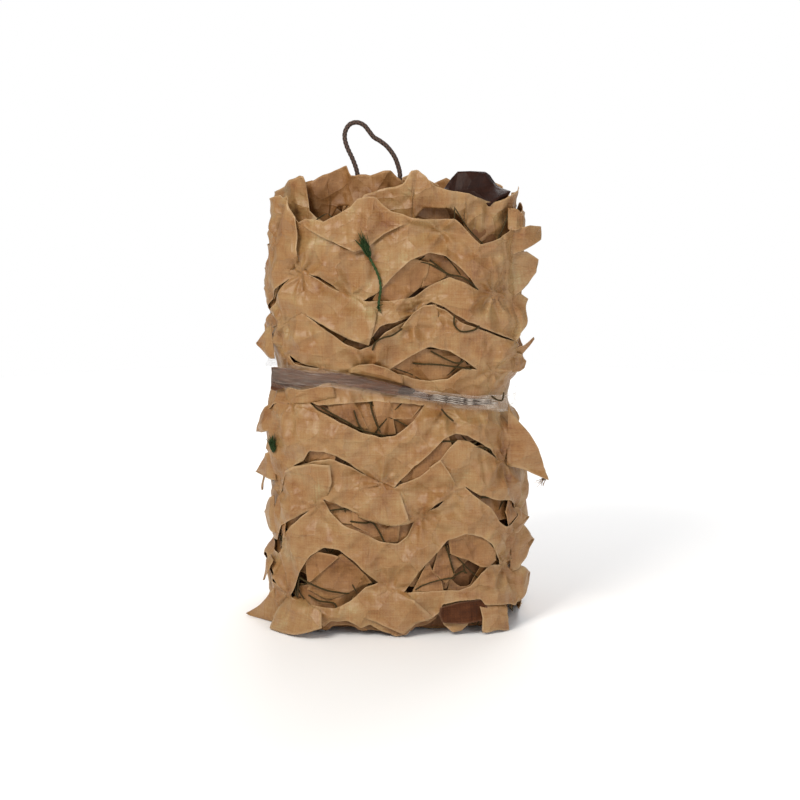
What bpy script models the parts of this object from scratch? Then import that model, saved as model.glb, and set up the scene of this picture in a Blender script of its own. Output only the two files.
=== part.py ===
"""A packed camouflage net: leaf-cut tan cloth on a string net, wound into a flattened roll that stands
on its end, with a clear film round its waist. Metres, +Z up. The front faces -Y, and the origin is the
middle of the foot, on the floor."""

import math
from collections import namedtuple

import bmesh
import bpy
import numpy as np
from mathutils import Vector
from mathutils.bvhtree import BVHTree

# ---------------------------------------------------------------- driving sizes

HALF_WIDTH = 0.121
HALF_DEPTH = 0.095
SQUARENESS = 3.4  # of the superellipse that the flattened roll has as its section
COLUMNS = 76  # round the roll
GAP = 0.0003  # between pieces that touch
MIDDLE = (-0.0020, -0.0001, 0.0)  # where the roll's centre line is, so that the whole is centred

BAND_HEIGHT = 0.2285  # of the waist film's middle, on the roll's centre line
BAND_FALL = -0.115  # of the film for each metre to the right
BAND_FALL_BACK = -0.06  # and for each metre towards the back
BAND_HALF = 0.0085  # half the height of the flat that the film presses into the cloth
PINCH = 0.0085  # how far the film draws the waist in
PINCH_LEAN = 0.02  # and how much more of that for each metre to the right
PINCH_REACH = 0.019
FILM_PRESS = 0.0012  # how much flatter the cloth lies right under the film
FILM_CLEAR = 0.0125  # from the film's middle to the nearest lip

MIN_BAND = 0.015  # least height of cloth between two rows of slits
SEAM = 0.0012  # half the height of a closed slit
CLOTH = 0.0026  # thickness of a leaf at its lip
CLEAR = 0.0012  # between a flap and the cloth that it covers
LIP_SLANT = 0.12  # how far, as a share of a gap's height, its hollow is smaller than its mouth
LIP_SWELL = 0.7  # a lip follows this share of the swells underneath
PUFF = 0.0035  # how far a band of cloth stands out in its middle
LIFT_FALL = 2.2  # how fast a lip's lift dies away from its edge
PITCH = 0.118  # of the leaf pattern round the roll
SEED = 28  # of the slits' uneven places round the sides and back

ROPE_RADIUS = 0.0021
TWINE_RADIUS = 0.0013

# ---------------------------------------------------------------- the leaf cuts
# A slit runs from its left end to its right end, both measured round the roll from the middle of the
# front. The cloth above it ends in the top lip, the cloth below it in the low lip: each bows up or down
# from the slit's straight line, most at skew, and lifts off the roll. Between them the gap is depth deep.

Slit = namedtuple(
    "Slit",
    "row left left_height right right_height top_bow low_bow skew top_lift low_lift depth point",
)

FRONT_SLITS = [
    Slit(0, -0.084, 0.374, 0.006, 0.373, -0.022, -0.024, 0.54, 0.0005, 0.004, 0.004, 1.0),
    Slit(0, 0.072, 0.362, 0.150, 0.366, -0.004, -0.007, 0.45, 0.0005, 0.004, 0.005, 1.0),
    Slit(0, 0.160, 0.350, 0.220, 0.356, 0.000, 0.009, 0.50, 0.001, 0.014, 0.003, 0.9),
    Slit(1, -0.154, 0.290, -0.097, 0.328, 0.004, 0.000, 0.50, 0.002, 0.001, 0.010, 1.0),
    Slit(1, -0.077, 0.333, -0.048, 0.317, 0.003, 0.000, 0.50, 0.003, 0.001, 0.006, 1.0),
    Slit(1, -0.027, 0.309, 0.078, 0.317, 0.036, 0.003, 0.50, 0.008, 0.003, 0.015, 0.9),
    Slit(1, 0.108, 0.312, 0.205, 0.330, 0.004, 0.012, 0.70, 0.001, 0.013, 0.007, 1.2),
    Slit(2, -0.225, 0.280, -0.135, 0.272, -0.018, -0.004, 0.45, 0.015, 0.001, 0.006, 1.2),
    Slit(2, -0.082, 0.298, 0.016, 0.294, -0.026, -0.033, 0.60, 0.007, 0.001, 0.011, 1.0),
    Slit(2, 0.052, 0.296, 0.122, 0.267, -0.003, -0.009, 0.50, 0.006, 0.001, 0.008, 1.0),
    Slit(2, 0.150, 0.288, 0.225, 0.292, 0.010, 0.002, 0.50, 0.008, 0.001, 0.008, 1.2),
    Slit(3, -0.104, 0.258, -0.044, 0.244, 0.001, -0.002, 0.50, 0.002, 0.000, 0.005, 1.0),
    Slit(3, 0.004, 0.239, 0.076, 0.246, 0.021, -0.006, 0.55, 0.005, 0.000, 0.011, 1.0),
    Slit(3, 0.108, 0.240, 0.190, 0.246, 0.006, -0.001, 0.60, 0.009, 0.000, 0.006, 1.2),
    Slit(4, -0.210, 0.218, -0.115, 0.212, -0.020, -0.006, 0.45, 0.016, 0.001, 0.007, 1.4),
    Slit(4, -0.083, 0.218, 0.028, 0.213, 0.002, -0.030, 0.62, 0.000, 0.005, 0.013, 1.0),
    Slit(4, 0.064, 0.203, 0.112, 0.198, 0.000, -0.004, 0.50, 0.002, 0.001, 0.004, 1.0),
    Slit(5, -0.116, 0.125, -0.021, 0.147, 0.035, 0.026, 0.38, 0.007, 0.002, 0.010, 0.9),
    Slit(5, -0.000, 0.138, 0.104, 0.158, 0.037, 0.027, 0.48, 0.007, 0.002, 0.011, 1.0),
    Slit(5, 0.122, 0.166, 0.214, 0.166, -0.036, 0.003, 0.50, 0.029, 0.001, 0.008, 1.5),
    Slit(6, -0.186, 0.075, -0.078, 0.116, -0.002, -0.010, 0.60, 0.006, 0.001, 0.010, 1.0),
    Slit(6, -0.064, 0.127, 0.018, 0.106, -0.006, -0.025, 0.60, 0.008, 0.002, 0.015, 0.9),
    Slit(6, 0.062, 0.141, 0.135, 0.106, 0.000, -0.020, 0.62, 0.007, 0.002, 0.013, 1.0),
    Slit(7, -0.102, 0.031, -0.014, 0.050, 0.040, -0.006, 0.42, 0.007, 0.002, 0.016, 0.8),
    Slit(7, 0.009, 0.040, 0.105, 0.061, 0.043, -0.006, 0.55, 0.007, 0.003, 0.018, 0.8),
]
ROWS = 8
FILM_ROW = 3  # the film lies in the band of cloth under this row
PLAIN_BAND = 4  # rings of points in a band of cloth that the film doesn't cross

# The kinds of slit that repeat round the sides and back, where the pattern is as the maker cut it.
Kind = namedtuple("Kind", "top_bow low_bow skew top_lift low_lift depth point")
KINDS = [
    Kind(0.030, 0.002, 0.50, 0.008, 0.002, 0.014, 0.9),
    Kind(-0.012, -0.028, 0.58, 0.007, 0.001, 0.012, 1.0),
    Kind(0.024, 0.016, 0.42, 0.007, 0.002, 0.010, 1.0),
    Kind(-0.016, 0.004, 0.50, 0.013, 0.001, 0.007, 1.3),
    Kind(0.004, -0.020, 0.60, 0.006, 0.003, 0.012, 0.9),
]

# The edges of the cloth at the two ends: (girth position, height) pairs that close round the roll.
RIM = [
    (-0.225, 0.380), (-0.180, 0.394), (-0.150, 0.404), (-0.128, 0.392), (-0.108, 0.398), (-0.088, 0.379),
    (-0.066, 0.381), (-0.044, 0.391), (-0.026, 0.404), (-0.006, 0.392), (0.012, 0.383), (0.030, 0.382),
    (0.052, 0.386), (0.076, 0.371), (0.096, 0.382), (0.114, 0.402), (0.136, 0.386), (0.162, 0.380),
    (0.190, 0.390), (0.230, 0.376), (0.275, 0.396), (0.320, 0.378), (0.350, 0.398), (0.380, 0.384),
    (0.415, 0.402), (0.460, 0.380), (0.490, 0.398),
]
COLLAR = [
    (-0.215, 0.396), (-0.175, 0.412), (-0.135, 0.400), (-0.105, 0.414), (-0.088, 0.417), (-0.066, 0.421),
    (-0.052, 0.414), (-0.036, 0.404), (-0.010, 0.408), (0.004, 0.396), (0.016, 0.412), (0.036, 0.402),
    (0.062, 0.394), (0.086, 0.386), (0.112, 0.408), (0.136, 0.396), (0.165, 0.404), (0.205, 0.392),
    (0.260, 0.406), (0.305, 0.394), (0.350, 0.412), (0.395, 0.398), (0.440, 0.410), (0.485, 0.396),
]
INNER_COLLAR = [
    (-0.205, 0.404), (-0.150, 0.398), (-0.115, 0.412), (-0.082, 0.408), (-0.050, 0.425), (-0.034, 0.412),
    (-0.020, 0.404), (-0.004, 0.398), (0.014, 0.424), (0.030, 0.408), (0.058, 0.394), (0.084, 0.384),
    (0.130, 0.382), (0.168, 0.384), (0.192, 0.402), (0.215, 0.394), (0.250, 0.412), (0.300, 0.396),
    (0.345, 0.410), (0.395, 0.400), (0.440, 0.414), (0.480, 0.400),
]
HEM = [
    (-0.235, 0.010), (-0.205, 0.000), (-0.150, 0.000), (-0.122, 0.010), (-0.112, 0.000), (-0.062, 0.000),
    (-0.044, 0.015), (-0.030, 0.004), (-0.018, 0.000), (0.026, 0.000), (0.042, 0.015), (0.056, 0.006),
    (0.066, 0.013), (0.078, 0.000), (0.104, 0.000), (0.122, 0.016), (0.150, 0.000), (0.195, 0.000),
    (0.220, 0.014), (0.250, 0.000), (0.290, 0.000), (0.318, 0.012), (0.350, 0.000), (0.400, 0.000),
    (0.425, 0.014), (0.455, 0.000), (0.490, 0.000),
]
HEM_FLARE = 0.005
FOOT_WIDTH = 0.007  # of the flat that the hem stands on
FOOT_HOLLOW = 0.003  # height of the roll's underside inside the hem
FOOT_INSETS = (0.014, 0.030)  # of the underside's two rings
LEFT_TIP = (-0.172, 0.024)  # a leaf that points out over the floor: girth position and reach
LEFT_TIP_WIDTH = 0.016

# Swells of the layers underneath: waves that go a whole number of times round and climb the roll.
Wave = namedtuple("Wave", "turns climb phase size")
WAVES = [
    Wave(3, 14.0, 0.4, 0.0011),
    Wave(5, -23.0, 2.1, 0.0010),
    Wave(8, 31.0, 4.0, 0.0009),
    Wave(11, -44.0, 1.2, 0.0008),
    Wave(14, 62.0, 5.2, 0.0006),
]
DIMPLE = 0.0045  # where a tie draws the cloth to the net, between two slits
DIMPLE_RADIUS = 0.011
FAN_FOLDS = 6  # folds that fan out from a tie
FAN_SIZE = 0.0016
FAN_RADIUS = 0.026
FAN_REACH = 0.014

# The roll's top end, from the rim inwards.
EDGE_ROUND = 0.001  # how much lower an edge's inner corner is than its outer one
RIM_THICKNESS = 0.0025
RIM_FLARE = 0.0015
RIM_DEPTH = 0.002  # the most that a gap in the top row is deep, because the rim is thin
GROOVE_INSET = 0.009
GROOVE_HEIGHT = 0.352
COLLAR_THICKNESS = 0.0025
GROOVE_WIDTH = 0.0055  # from a collar's inner face to the middle of the groove behind it
GROOVE_SHARE = 0.8  # a groove takes this share of the pocket's inset
RUFFLES = 13
RUFFLE = 0.0015
# Each collar: its edge, its inset, how far the pocket moves it in, and the hollow's floor behind it.
COLLARS = [
    (COLLAR, 0.016, 0.014, 0.366),
    (INNER_COLLAR, 0.031, 0.007, 0.372),
]
CORE_INSET = 0.050
CORE_HEIGHT = 0.396
CORE_RUFFLE = 0.004
CORE_EDGE = 0.004  # width of the core's rim
CORE_HOLLOW_HEIGHT = 0.384
CORE_HOLLOW_INSETS = (0.030, 0.020)  # of the hollow's two rings, from the core's edge
LEAF_ROOM = 0.011  # how far the core leaves room for the brown leaf, and where
LEAF_ROOM_GIRTH = 0.110
LEAF_ROOM_WIDTH = 0.030
POCKET_GIRTH = -0.068  # the open fold at the top left
POCKET_WIDTH = 0.018
POCKET_INSET = 0.0064  # of the groove in front of it
POCKET_DROP = 0.014

# ---------------------------------------------------------------- the small pieces

WAIST_LEAF = (-0.128, 0.026)  # where the brown strip under the film starts and ends, round the roll
WAIST_LEAF_HALF = 0.0062
WAIST_LEAF_THICKNESS = 0.001
FILM_HALF = (0.0068, 0.0046)  # half its height where it lies flat, and where it's bunched
FILM_THICKNESS = (0.0010, 0.0026)
BUNCH_GIRTH = 0.130  # where it's bunched most
FILM_GATHER = (300, 0.0005)  # ripples of its edges: radians for each metre round, and size
FILM_FOLD = (110, 0.5, 0.2)  # its middle crease: radians for each metre, mean depth and swing, as shares

LEAF_THICKNESS = 0.0014
PATCH_CELL = 0.006
HEM_LEAF = (0.046, 0.088, 0.034, 0.012)  # left, right, top and bottom of the brown leaf at the foot

# The brown leaf at the top: x, y, and its lower and upper edge there.
TOP_LEAF = [
    (0.042, -0.050, 0.3905, 0.407),
    (0.055, -0.049, 0.3780, 0.420),
    (0.068, -0.046, 0.3790, 0.421),
    (0.081, -0.040, 0.3836, 0.419),
    (0.088, -0.036, 0.3845, 0.408),
    (0.094, -0.032, 0.3845, 0.402),
]
TOP_LEAF_FLUTES = 3.3  # how many flutes it has
TOP_LEAF_FLUTE = 0.0042  # how deep they are
TOP_LEAF_WAVE = 0.0015  # how far they raise its upper edge
TOP_LEAF_LEAN = 0.006  # of its upper edge towards the back

# The rope's route from its left root, over its top, to its right root.
ROPE_ROUTE = [
    (-0.0325, -0.0500, 0.3880), (-0.0345, -0.0495, 0.4080), (-0.0380, -0.0485, 0.4250),
    (-0.0425, -0.0470, 0.4400), (-0.0460, -0.0450, 0.4530), (-0.0432, -0.0430, 0.4620),
    (-0.0360, -0.0420, 0.4652), (-0.0280, -0.0420, 0.4610), (-0.0200, -0.0430, 0.4520),
    (-0.0120, -0.0440, 0.4435), (-0.0050, -0.0460, 0.4360), (0.0005, -0.0480, 0.4270),
    (0.0030, -0.0500, 0.4160), (0.0028, -0.0510, 0.4020), (0.0020, -0.0510, 0.3920),
]

# The green tie's route up the front: girth position and height.
TIE_ROUTE = [
    (-0.0150, 0.3060), (-0.0140, 0.3130), (-0.0136, 0.3210), (-0.0165, 0.3300), (-0.0215, 0.3420),
    (-0.0262, 0.3530), (-0.0310, 0.3620), (-0.0335, 0.3675),
]
TUFT_PLACE = (-0.131, 0.181)
TUFT_SIZE = (0.0050, 0.0042, 0.0088)  # half its size round the roll, outwards and upwards
SEARCH = 0.06  # how far off the roll a search for its surface starts

# ---------------------------------------------------------------- materials


def cloth_material(name, red, green, blue, roughness=0.75, alpha=1.0):
    """A plain woven finish of one colour."""
    material = bpy.data.materials.new(name)
    material.use_nodes = True
    shader = material.node_tree.nodes["Principled BSDF"]
    shader.inputs["Base Color"].default_value = (red, green, blue, 1.0)
    shader.inputs["Roughness"].default_value = roughness
    shader.inputs["Metallic"].default_value = 0.0
    shader.inputs["Alpha"].default_value = alpha
    return material


# ---------------------------------------------------------------- the roll's section

ANGLES = np.linspace(-math.pi, math.pi, 7201)


def superellipse(angle, half_width, half_depth):
    """x and y of the section at an angle from the front."""
    power = 2 / SQUARENESS
    x = half_width * np.sign(np.sin(angle)) * np.abs(np.sin(angle)) ** power
    y = -half_depth * np.sign(np.cos(angle)) * np.abs(np.cos(angle)) ** power
    return x, y


SECTION_X, SECTION_Y = superellipse(ANGLES, HALF_WIDTH, HALF_DEPTH)
STEPS = np.hypot(np.diff(SECTION_X), np.diff(SECTION_Y))
GIRTHS = np.concatenate([[0.0], np.cumsum(STEPS)])
GIRTH = GIRTHS[-1]
GIRTHS = GIRTHS - GIRTH / 2


def section(girth):
    """x, y and the outward direction at each distance round the roll from the middle of the front."""
    wrapped = (np.asarray(girth) + GIRTH / 2) % GIRTH - GIRTH / 2
    x = np.interp(wrapped, GIRTHS, SECTION_X)
    y = np.interp(wrapped, GIRTHS, SECTION_Y)
    slope_x = np.sign(x) * np.abs(x / HALF_WIDTH) ** (SQUARENESS - 1) / HALF_WIDTH
    slope_y = np.sign(y) * np.abs(y / HALF_DEPTH) ** (SQUARENESS - 1) / HALF_DEPTH
    length = np.hypot(slope_x, slope_y)
    return x, y, slope_x / length, slope_y / length


def round_roll(points, girth):
    """Heights read from a table of (girth position, height) that closes round the roll."""
    table = np.array(points)
    return np.interp(girth, table[:, 0], table[:, 1], period=GIRTH)


def band_height(x, y):
    """Height of the waist film's middle: it lies in a plane that falls to the right and the back."""
    return BAND_HEIGHT + BAND_FALL * x + BAND_FALL_BACK * (y + HALF_DEPTH)


# ---------------------------------------------------------------- rows of slits


def filled_row(row, hand, draw):
    """The hand-placed slits of a row, and more of them at the pattern's pitch round the rest of the roll."""
    hand = sorted(hand, key=lambda slit: slit.left)
    start, end = hand[-1].right, hand[0].left + GIRTH
    count = max(1, round((end - start) / PITCH))
    cell = (end - start) / count
    made = []
    for index in range(count):
        kind = KINDS[(row * 2 + index * 3 + draw.integers(0, 2)) % len(KINDS)]
        if row in (FILM_ROW, FILM_ROW + 1) and kind.top_bow < kind.low_bow:
            kind = KINDS[0]
        margin = 0.013 + 0.004 * draw.random()
        left, right = start + index * cell + margin, start + (index + 1) * cell - margin
        along = (index + 0.5) / count
        height = hand[-1].right_height * (1 - along) + hand[0].left_height * along
        tilt = 0.012 * (draw.random() - 0.5)
        scale = 0.8 + 0.4 * draw.random()
        made.append(
            Slit(row, left, height - tilt, right, height + tilt, kind.top_bow * scale, kind.low_bow * scale,
                 kind.skew, kind.top_lift * scale, kind.low_lift, kind.depth, kind.point)
        )
    return hand + made


def all_rows():
    """The slits of every row, from the top one down."""
    draw = np.random.default_rng(SEED)
    return [filled_row(row, [s for s in FRONT_SLITS if s.row == row], draw) for row in range(ROWS)]


def lips(slits, girth):
    """For one row: the heights of its two lips, how far they lift, the gap's depth, and how far into a
    slit each column is, from 0 at its ends to 1 at its middle."""
    ends = np.array([(s.left, s.left_height, s.right, s.right_height) for s in slits])
    line = np.interp(girth, ends[:, [0, 2]].ravel(), ends[:, [1, 3]].ravel(), period=GIRTH)
    top, low, top_lift, low_lift, depth, inside = (np.zeros_like(girth) for _ in range(6))
    for slit in slits:
        along = ((girth - slit.left) % GIRTH) / (slit.right - slit.left)
        within = along < 1
        power = math.log(0.5) / math.log(slit.skew)
        arch = np.where(within, np.sin(math.pi * np.clip(along, 0, 1) ** power), 0.0)
        bow = np.maximum(arch, 0) ** slit.point
        top += slit.top_bow * bow
        low += slit.low_bow * bow
        top_lift += slit.top_lift * bow
        low_lift += slit.low_lift * bow
        depth += slit.depth * np.sqrt(np.maximum(arch, 0))
        inside += np.clip(arch * 6, 0, 1)
    return line + top, line + low, top_lift, low_lift, depth, inside


def ties(rows):
    """Girth position and height of each tie: the middle of the cloth between two slits of a row."""
    found = []
    for slits in rows:
        ordered = sorted(slits, key=lambda slit: slit.left)
        for slit, following in zip(ordered, ordered[1:] + ordered[:1]):
            between = (following.left - slit.right) % GIRTH
            height = (slit.right_height + following.left_height) / 2
            found.append(((slit.right + between / 2), height))
    return np.array(found)


def swell(girth, height, tie_points):
    """How far the cloth stands out or in: the waves of the layers underneath, less a dimple at each tie,
    with folds that fan out from the tie."""
    out = np.zeros_like(girth)
    for wave in WAVES:
        turn = 2 * math.pi * wave.turns * girth / GIRTH
        out = out + wave.size * np.cos(turn + wave.climb * height + wave.phase)
    across = (girth[None, :] - tie_points[:, :1] + GIRTH / 2) % GIRTH - GIRTH / 2
    up = height[None, :] - tie_points[:, 1:]
    away = np.hypot(across, up)
    near = np.exp(-(away**2) / (2 * DIMPLE_RADIUS**2))
    folds = np.cos(FAN_FOLDS * np.arctan2(up, across) + 9 * tie_points[:, 1:] / PITCH)
    fan = folds * np.exp(-(((away - FAN_RADIUS) / FAN_REACH) ** 2))
    return out - DIMPLE * near.max(axis=0) + FAN_SIZE * fan.sum(axis=0)


# ---------------------------------------------------------------- the wound net


def along_column(rings, height):
    """How far out the surface through a few rings stands at a height, column by column."""
    (first, first_out), (second, second_out) = rings
    part = (height - first) / np.minimum(second - first, -SEAM / 4)
    return first_out + (second_out - first_out) * np.clip(part, 0, 1)


def slit_edges(girth, film):
    """For each row of slits: its two lips, kept apart from the rows above and from the film."""
    edges = []
    above = round_roll(RIM, girth)
    for row, slits in enumerate(all_rows()):
        top, low, top_lift, low_lift, depth, inside = lips(slits, girth)
        if row == 0:
            depth = np.minimum(depth, RIM_DEPTH)
        top = np.minimum(top, above - MIN_BAND)
        low = np.minimum(low, above - MIN_BAND)
        if row <= FILM_ROW:
            floor = film + FILM_CLEAR + (FILM_ROW - row) * MIN_BAND
            top, low = np.maximum(top, floor), np.maximum(low, floor)
        else:
            ceiling = film - FILM_CLEAR - (row - FILM_ROW - 1) * MIN_BAND
            top, low = np.minimum(top, ceiling), np.minimum(low, ceiling)
        edges.append((top, low, top_lift, low_lift, depth, inside))
        above = np.minimum(low, top)
    return edges


def cloth_bands(girth, film, edges, tie_points):
    """The rings of points of each band of cloth between two rows of slits, from its upper lip to its
    lower one: a list of [height, how far out] for each band."""
    hem = round_roll(HEM, girth)
    flat = np.zeros_like(girth)
    bands = []
    for band in range(ROWS + 1):
        upper, upper_lift = round_roll(RIM, girth), flat + RIM_FLARE
        if band > 0:
            upper, upper_lift = edges[band - 1][1] - SEAM, edges[band - 1][3]
        lower, lower_lift = hem, flat + HEM_FLARE
        if band < ROWS:
            lower, lower_lift = edges[band][0] + SEAM, edges[band][2]
        downs = [0.55] if band == 0 else [0.3, 0.7]
        rings = [[upper, swell(girth, upper, tie_points) * LIP_SWELL + upper_lift]]
        for down in downs:
            height = upper + (lower - upper) * down
            out = PUFF * math.sin(math.pi * down) + swell(girth, height, tie_points)
            out = out + upper_lift * (1 - down) ** LIFT_FALL + lower_lift * down**LIFT_FALL
            rings.append([height, out])
        rings.append([lower, swell(girth, lower, tie_points) * LIP_SWELL + lower_lift])
        if band == FILM_ROW + 1:
            rings[1][0] = np.maximum(rings[1][0], film + BAND_HALF + SEAM)
            rings[2][0] = np.minimum(rings[2][0], film - BAND_HALF - SEAM)
            rings[2:2] = [[film + BAND_HALF, flat - FILM_PRESS], [film - BAND_HALF, flat - FILM_PRESS]]
        bands.append(rings)
    return bands


def side_rings(girth):
    """Every ring of points down the side of the roll, from the rim to the hem: (height, how far out)."""
    x, y, _, _ = section(girth)
    film = band_height(x, y)
    edges = slit_edges(girth, film)
    tie_points = ties(all_rows())
    bands = cloth_bands(girth, film, edges, tie_points)
    webs = []
    for row, (top, low, _, _, depth, inside) in enumerate(edges):
        over, under = bands[row], bands[row + 1]
        base = swell(girth, (top + low) / 2, tie_points) * LIP_SWELL
        lapped = top < low
        upper_proud = edges[row][2] > edges[row][3]
        cloth = CLOTH * inside
        hang, stand = lapped & upper_proud, lapped & ~upper_proud
        # A hanging flap of the upper cloth, in front of the lower one.
        root = low + cloth + SEAM
        over[-2][0] = np.where(hang, np.maximum(over[-2][0], root + SEAM), over[-2][0])
        if len(over) == PLAIN_BAND:
            over[1][0] = np.maximum(over[1][0], (over[0][0] + over[2][0]) / 2)
        short = under[0][1] + cloth + CLEAR * inside - along_column(over[-2:], root)
        short = np.where(hang, np.maximum(short, 0), 0)
        over[-2][1] = over[-2][1] + short
        over[-1][1] = over[-1][1] + short
        lifted = along_column(under[:2], over[-1][0]) + cloth + CLEAR * inside
        over[-1][1] = np.where(hang, np.maximum(over[-1][1], lifted), over[-1][1])
        hang_root = along_column(over[-2:], root) - cloth
        # A standing flap of the lower cloth, in front of the upper one.
        foot = top - cloth - SEAM
        under[1][0] = np.where(stand, np.minimum(under[1][0], foot - SEAM), under[1][0])
        if len(under) == PLAIN_BAND:
            under[2][0] = np.minimum(under[2][0], (under[1][0] + under[3][0]) / 2)
        short = over[-1][1] + cloth + CLEAR * inside - along_column(under[:2], foot)
        short = np.where(stand, np.maximum(short, 0), 0)
        under[0][1] = under[0][1] + short
        under[1][1] = under[1][1] + short
        lifted = along_column(over[-2:], under[0][0]) + cloth + CLEAR * inside
        under[0][1] = np.where(stand, np.maximum(under[0][1], lifted), under[0][1])
        stand_root = along_column(under[:2], foot) - cloth

        nudge = SEAM / 3
        inward = base - depth
        slant = LIP_SLANT * (top - low)
        upper_z = np.select([hang, stand], [root, foot + 2 * nudge], top - slant + nudge)
        lower_z = np.select([hang, stand], [root - 2 * nudge, foot], low + slant - nudge)
        webs.append([
            [upper_z, np.select([hang], [hang_root], inward)],
            [lower_z, np.select([stand], [stand_root], inward)],
        ])
    rings = []
    for row in range(ROWS + 1):
        rings += bands[row]
        if row < ROWS:
            rings += webs[row]
    drawn = PINCH + PINCH_LEAN * x
    return [(height, out - drawn * np.exp(-(((height - film) / PINCH_REACH) ** 2))) for height, out in rings]


def near_girth(girth, place, width):
    """A smooth bump of height 1 at a place round the roll."""
    away = (girth - place + GIRTH / 2) % GIRTH - GIRTH / 2
    return np.exp(-(away**2) / (2 * width**2))


def top_rings(girth):
    """The roll's top end, from its middle to the rim's inner edge: (height, inset) for each ring."""
    rim = round_roll(RIM, girth)
    flat = np.zeros_like(girth)
    pocket = near_girth(girth, POCKET_GIRTH, POCKET_WIDTH)
    ruffle = np.cos(2 * math.pi * RUFFLES * girth / GIRTH)
    rings = [(flat + CORE_HOLLOW_HEIGHT, flat + CORE_INSET + inner) for inner in CORE_HOLLOW_INSETS]
    core = CORE_HEIGHT + CORE_RUFFLE * ruffle
    core_inset = CORE_INSET + LEAF_ROOM * near_girth(girth, LEAF_ROOM_GIRTH, LEAF_ROOM_WIDTH)
    rings += [(core, core_inset + CORE_EDGE), (core, core_inset)]
    for table, inset, shift, groove in COLLARS[::-1]:
        height = round_roll(table, girth)
        collar_inset = inset + shift * pocket + RUFFLE * ruffle
        groove_inset = inset + COLLAR_THICKNESS + GROOVE_WIDTH + GROOVE_SHARE * shift * pocket
        rings.append((flat + groove, groove_inset))
        rings.append((height - EDGE_ROUND, collar_inset + COLLAR_THICKNESS))
        rings.append((height, collar_inset))
    rings.append((GROOVE_HEIGHT - POCKET_DROP * pocket, flat + GROOVE_INSET + POCKET_INSET * pocket))
    rings.append((rim - EDGE_ROUND, flat + RIM_THICKNESS))
    return rings


def roll_points(girth):
    """The roll's points, one row of them for each ring."""
    hem = round_roll(HEM, girth)
    flat = np.zeros_like(girth)
    tip = LEFT_TIP[1] * near_girth(girth, LEFT_TIP[0], LEFT_TIP_WIDTH)
    side = side_rings(girth)
    edge = side[-1][1] + tip
    side[-1] = (hem, edge)
    rings = [(height, flat, inset) for height, inset in top_rings(girth)]
    rings += [(height, out, flat) for height, out in side]
    rings += [
        (hem, edge - FOOT_WIDTH, flat),
        (np.maximum(hem, FOOT_HOLLOW), flat, flat + FOOT_INSETS[0]),
        (flat + FOOT_HOLLOW, flat, flat + FOOT_INSETS[1]),
    ]
    x, y, out_x, out_y = section(girth)
    points = []
    for height, out, inset in rings:
        wide = (HALF_WIDTH - inset) / HALF_WIDTH
        deep = (HALF_DEPTH - inset) / HALF_DEPTH
        across, along = x * wide + out_x * out, y * deep + out_y * out
        points.append(np.stack([across, along, height + flat], axis=1))
    return np.array(points)


def closed_loft(name, points, material, collection, ring=False):
    """A mesh object over loops of points, one after another. The last loop joins the first one where it's
    a ring, and otherwise a flat face closes each end."""
    loops, columns, _ = points.shape
    index = np.arange(loops * columns).reshape(loops, columns)
    above = index if ring else index[:-1]
    below = np.roll(index, -1, axis=0) if ring else index[1:]
    corners = [above, below, np.roll(below, -1, axis=1), np.roll(above, -1, axis=1)]
    faces = np.stack(corners, axis=2).reshape(-1, 4).tolist()
    if not ring:
        faces.append(index[0].tolist())
        faces.append(index[-1][::-1].tolist())
    mesh = bpy.data.meshes.new(name)
    mesh.from_pydata(points.reshape(-1, 3).tolist(), [], faces)
    face_outwards(mesh)
    return placed(name, mesh, material, collection)


def face_outwards(mesh):
    """Turn every face of a closed mesh to point out."""
    work = bmesh.new()
    work.from_mesh(mesh)
    bmesh.ops.recalc_face_normals(work, faces=work.faces)
    work.to_mesh(mesh)
    work.free()


def placed(name, data, material, collection):
    """An object for a mesh or a curve, with its one material."""
    data.materials.append(material)
    made = bpy.data.objects.new(name, data)
    made.location = MIDDLE
    collection.objects.link(made)
    return made


# ---------------------------------------------------------------- the film and the leaf under it


def pressed_surface(girth, lift, drop):
    """Points on the flat that the film presses, lifted off it, drop above the film's middle."""
    x, y, out_x, out_y = section(girth)
    drawn = (PINCH + PINCH_LEAN * x) * math.exp(-((BAND_HALF / PINCH_REACH) ** 2))
    out = lift - FILM_PRESS - drawn
    return np.stack([x + out_x * out, y + out_y * out, band_height(x, y) + drop], axis=-1)


def waist_leaf(girth, material, collection):
    """A strip of brown cloth that lies between the roll and the film."""
    under = girth[(girth > WAIST_LEAF[0]) & (girth < WAIST_LEAF[1])]
    half = WAIST_LEAF_HALF * (1 + 0.06 * np.cos(40 * under))
    outer = GAP + WAIST_LEAF_THICKNESS
    profile = [(GAP, -1.0), (GAP, 1.0), (outer, 1.0), (outer, -1.0)]
    loops = [pressed_surface(under, lift, side * half) for lift, side in profile]
    return closed_loft("waist_leaf", np.stack(loops, axis=1), material, collection)


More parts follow.
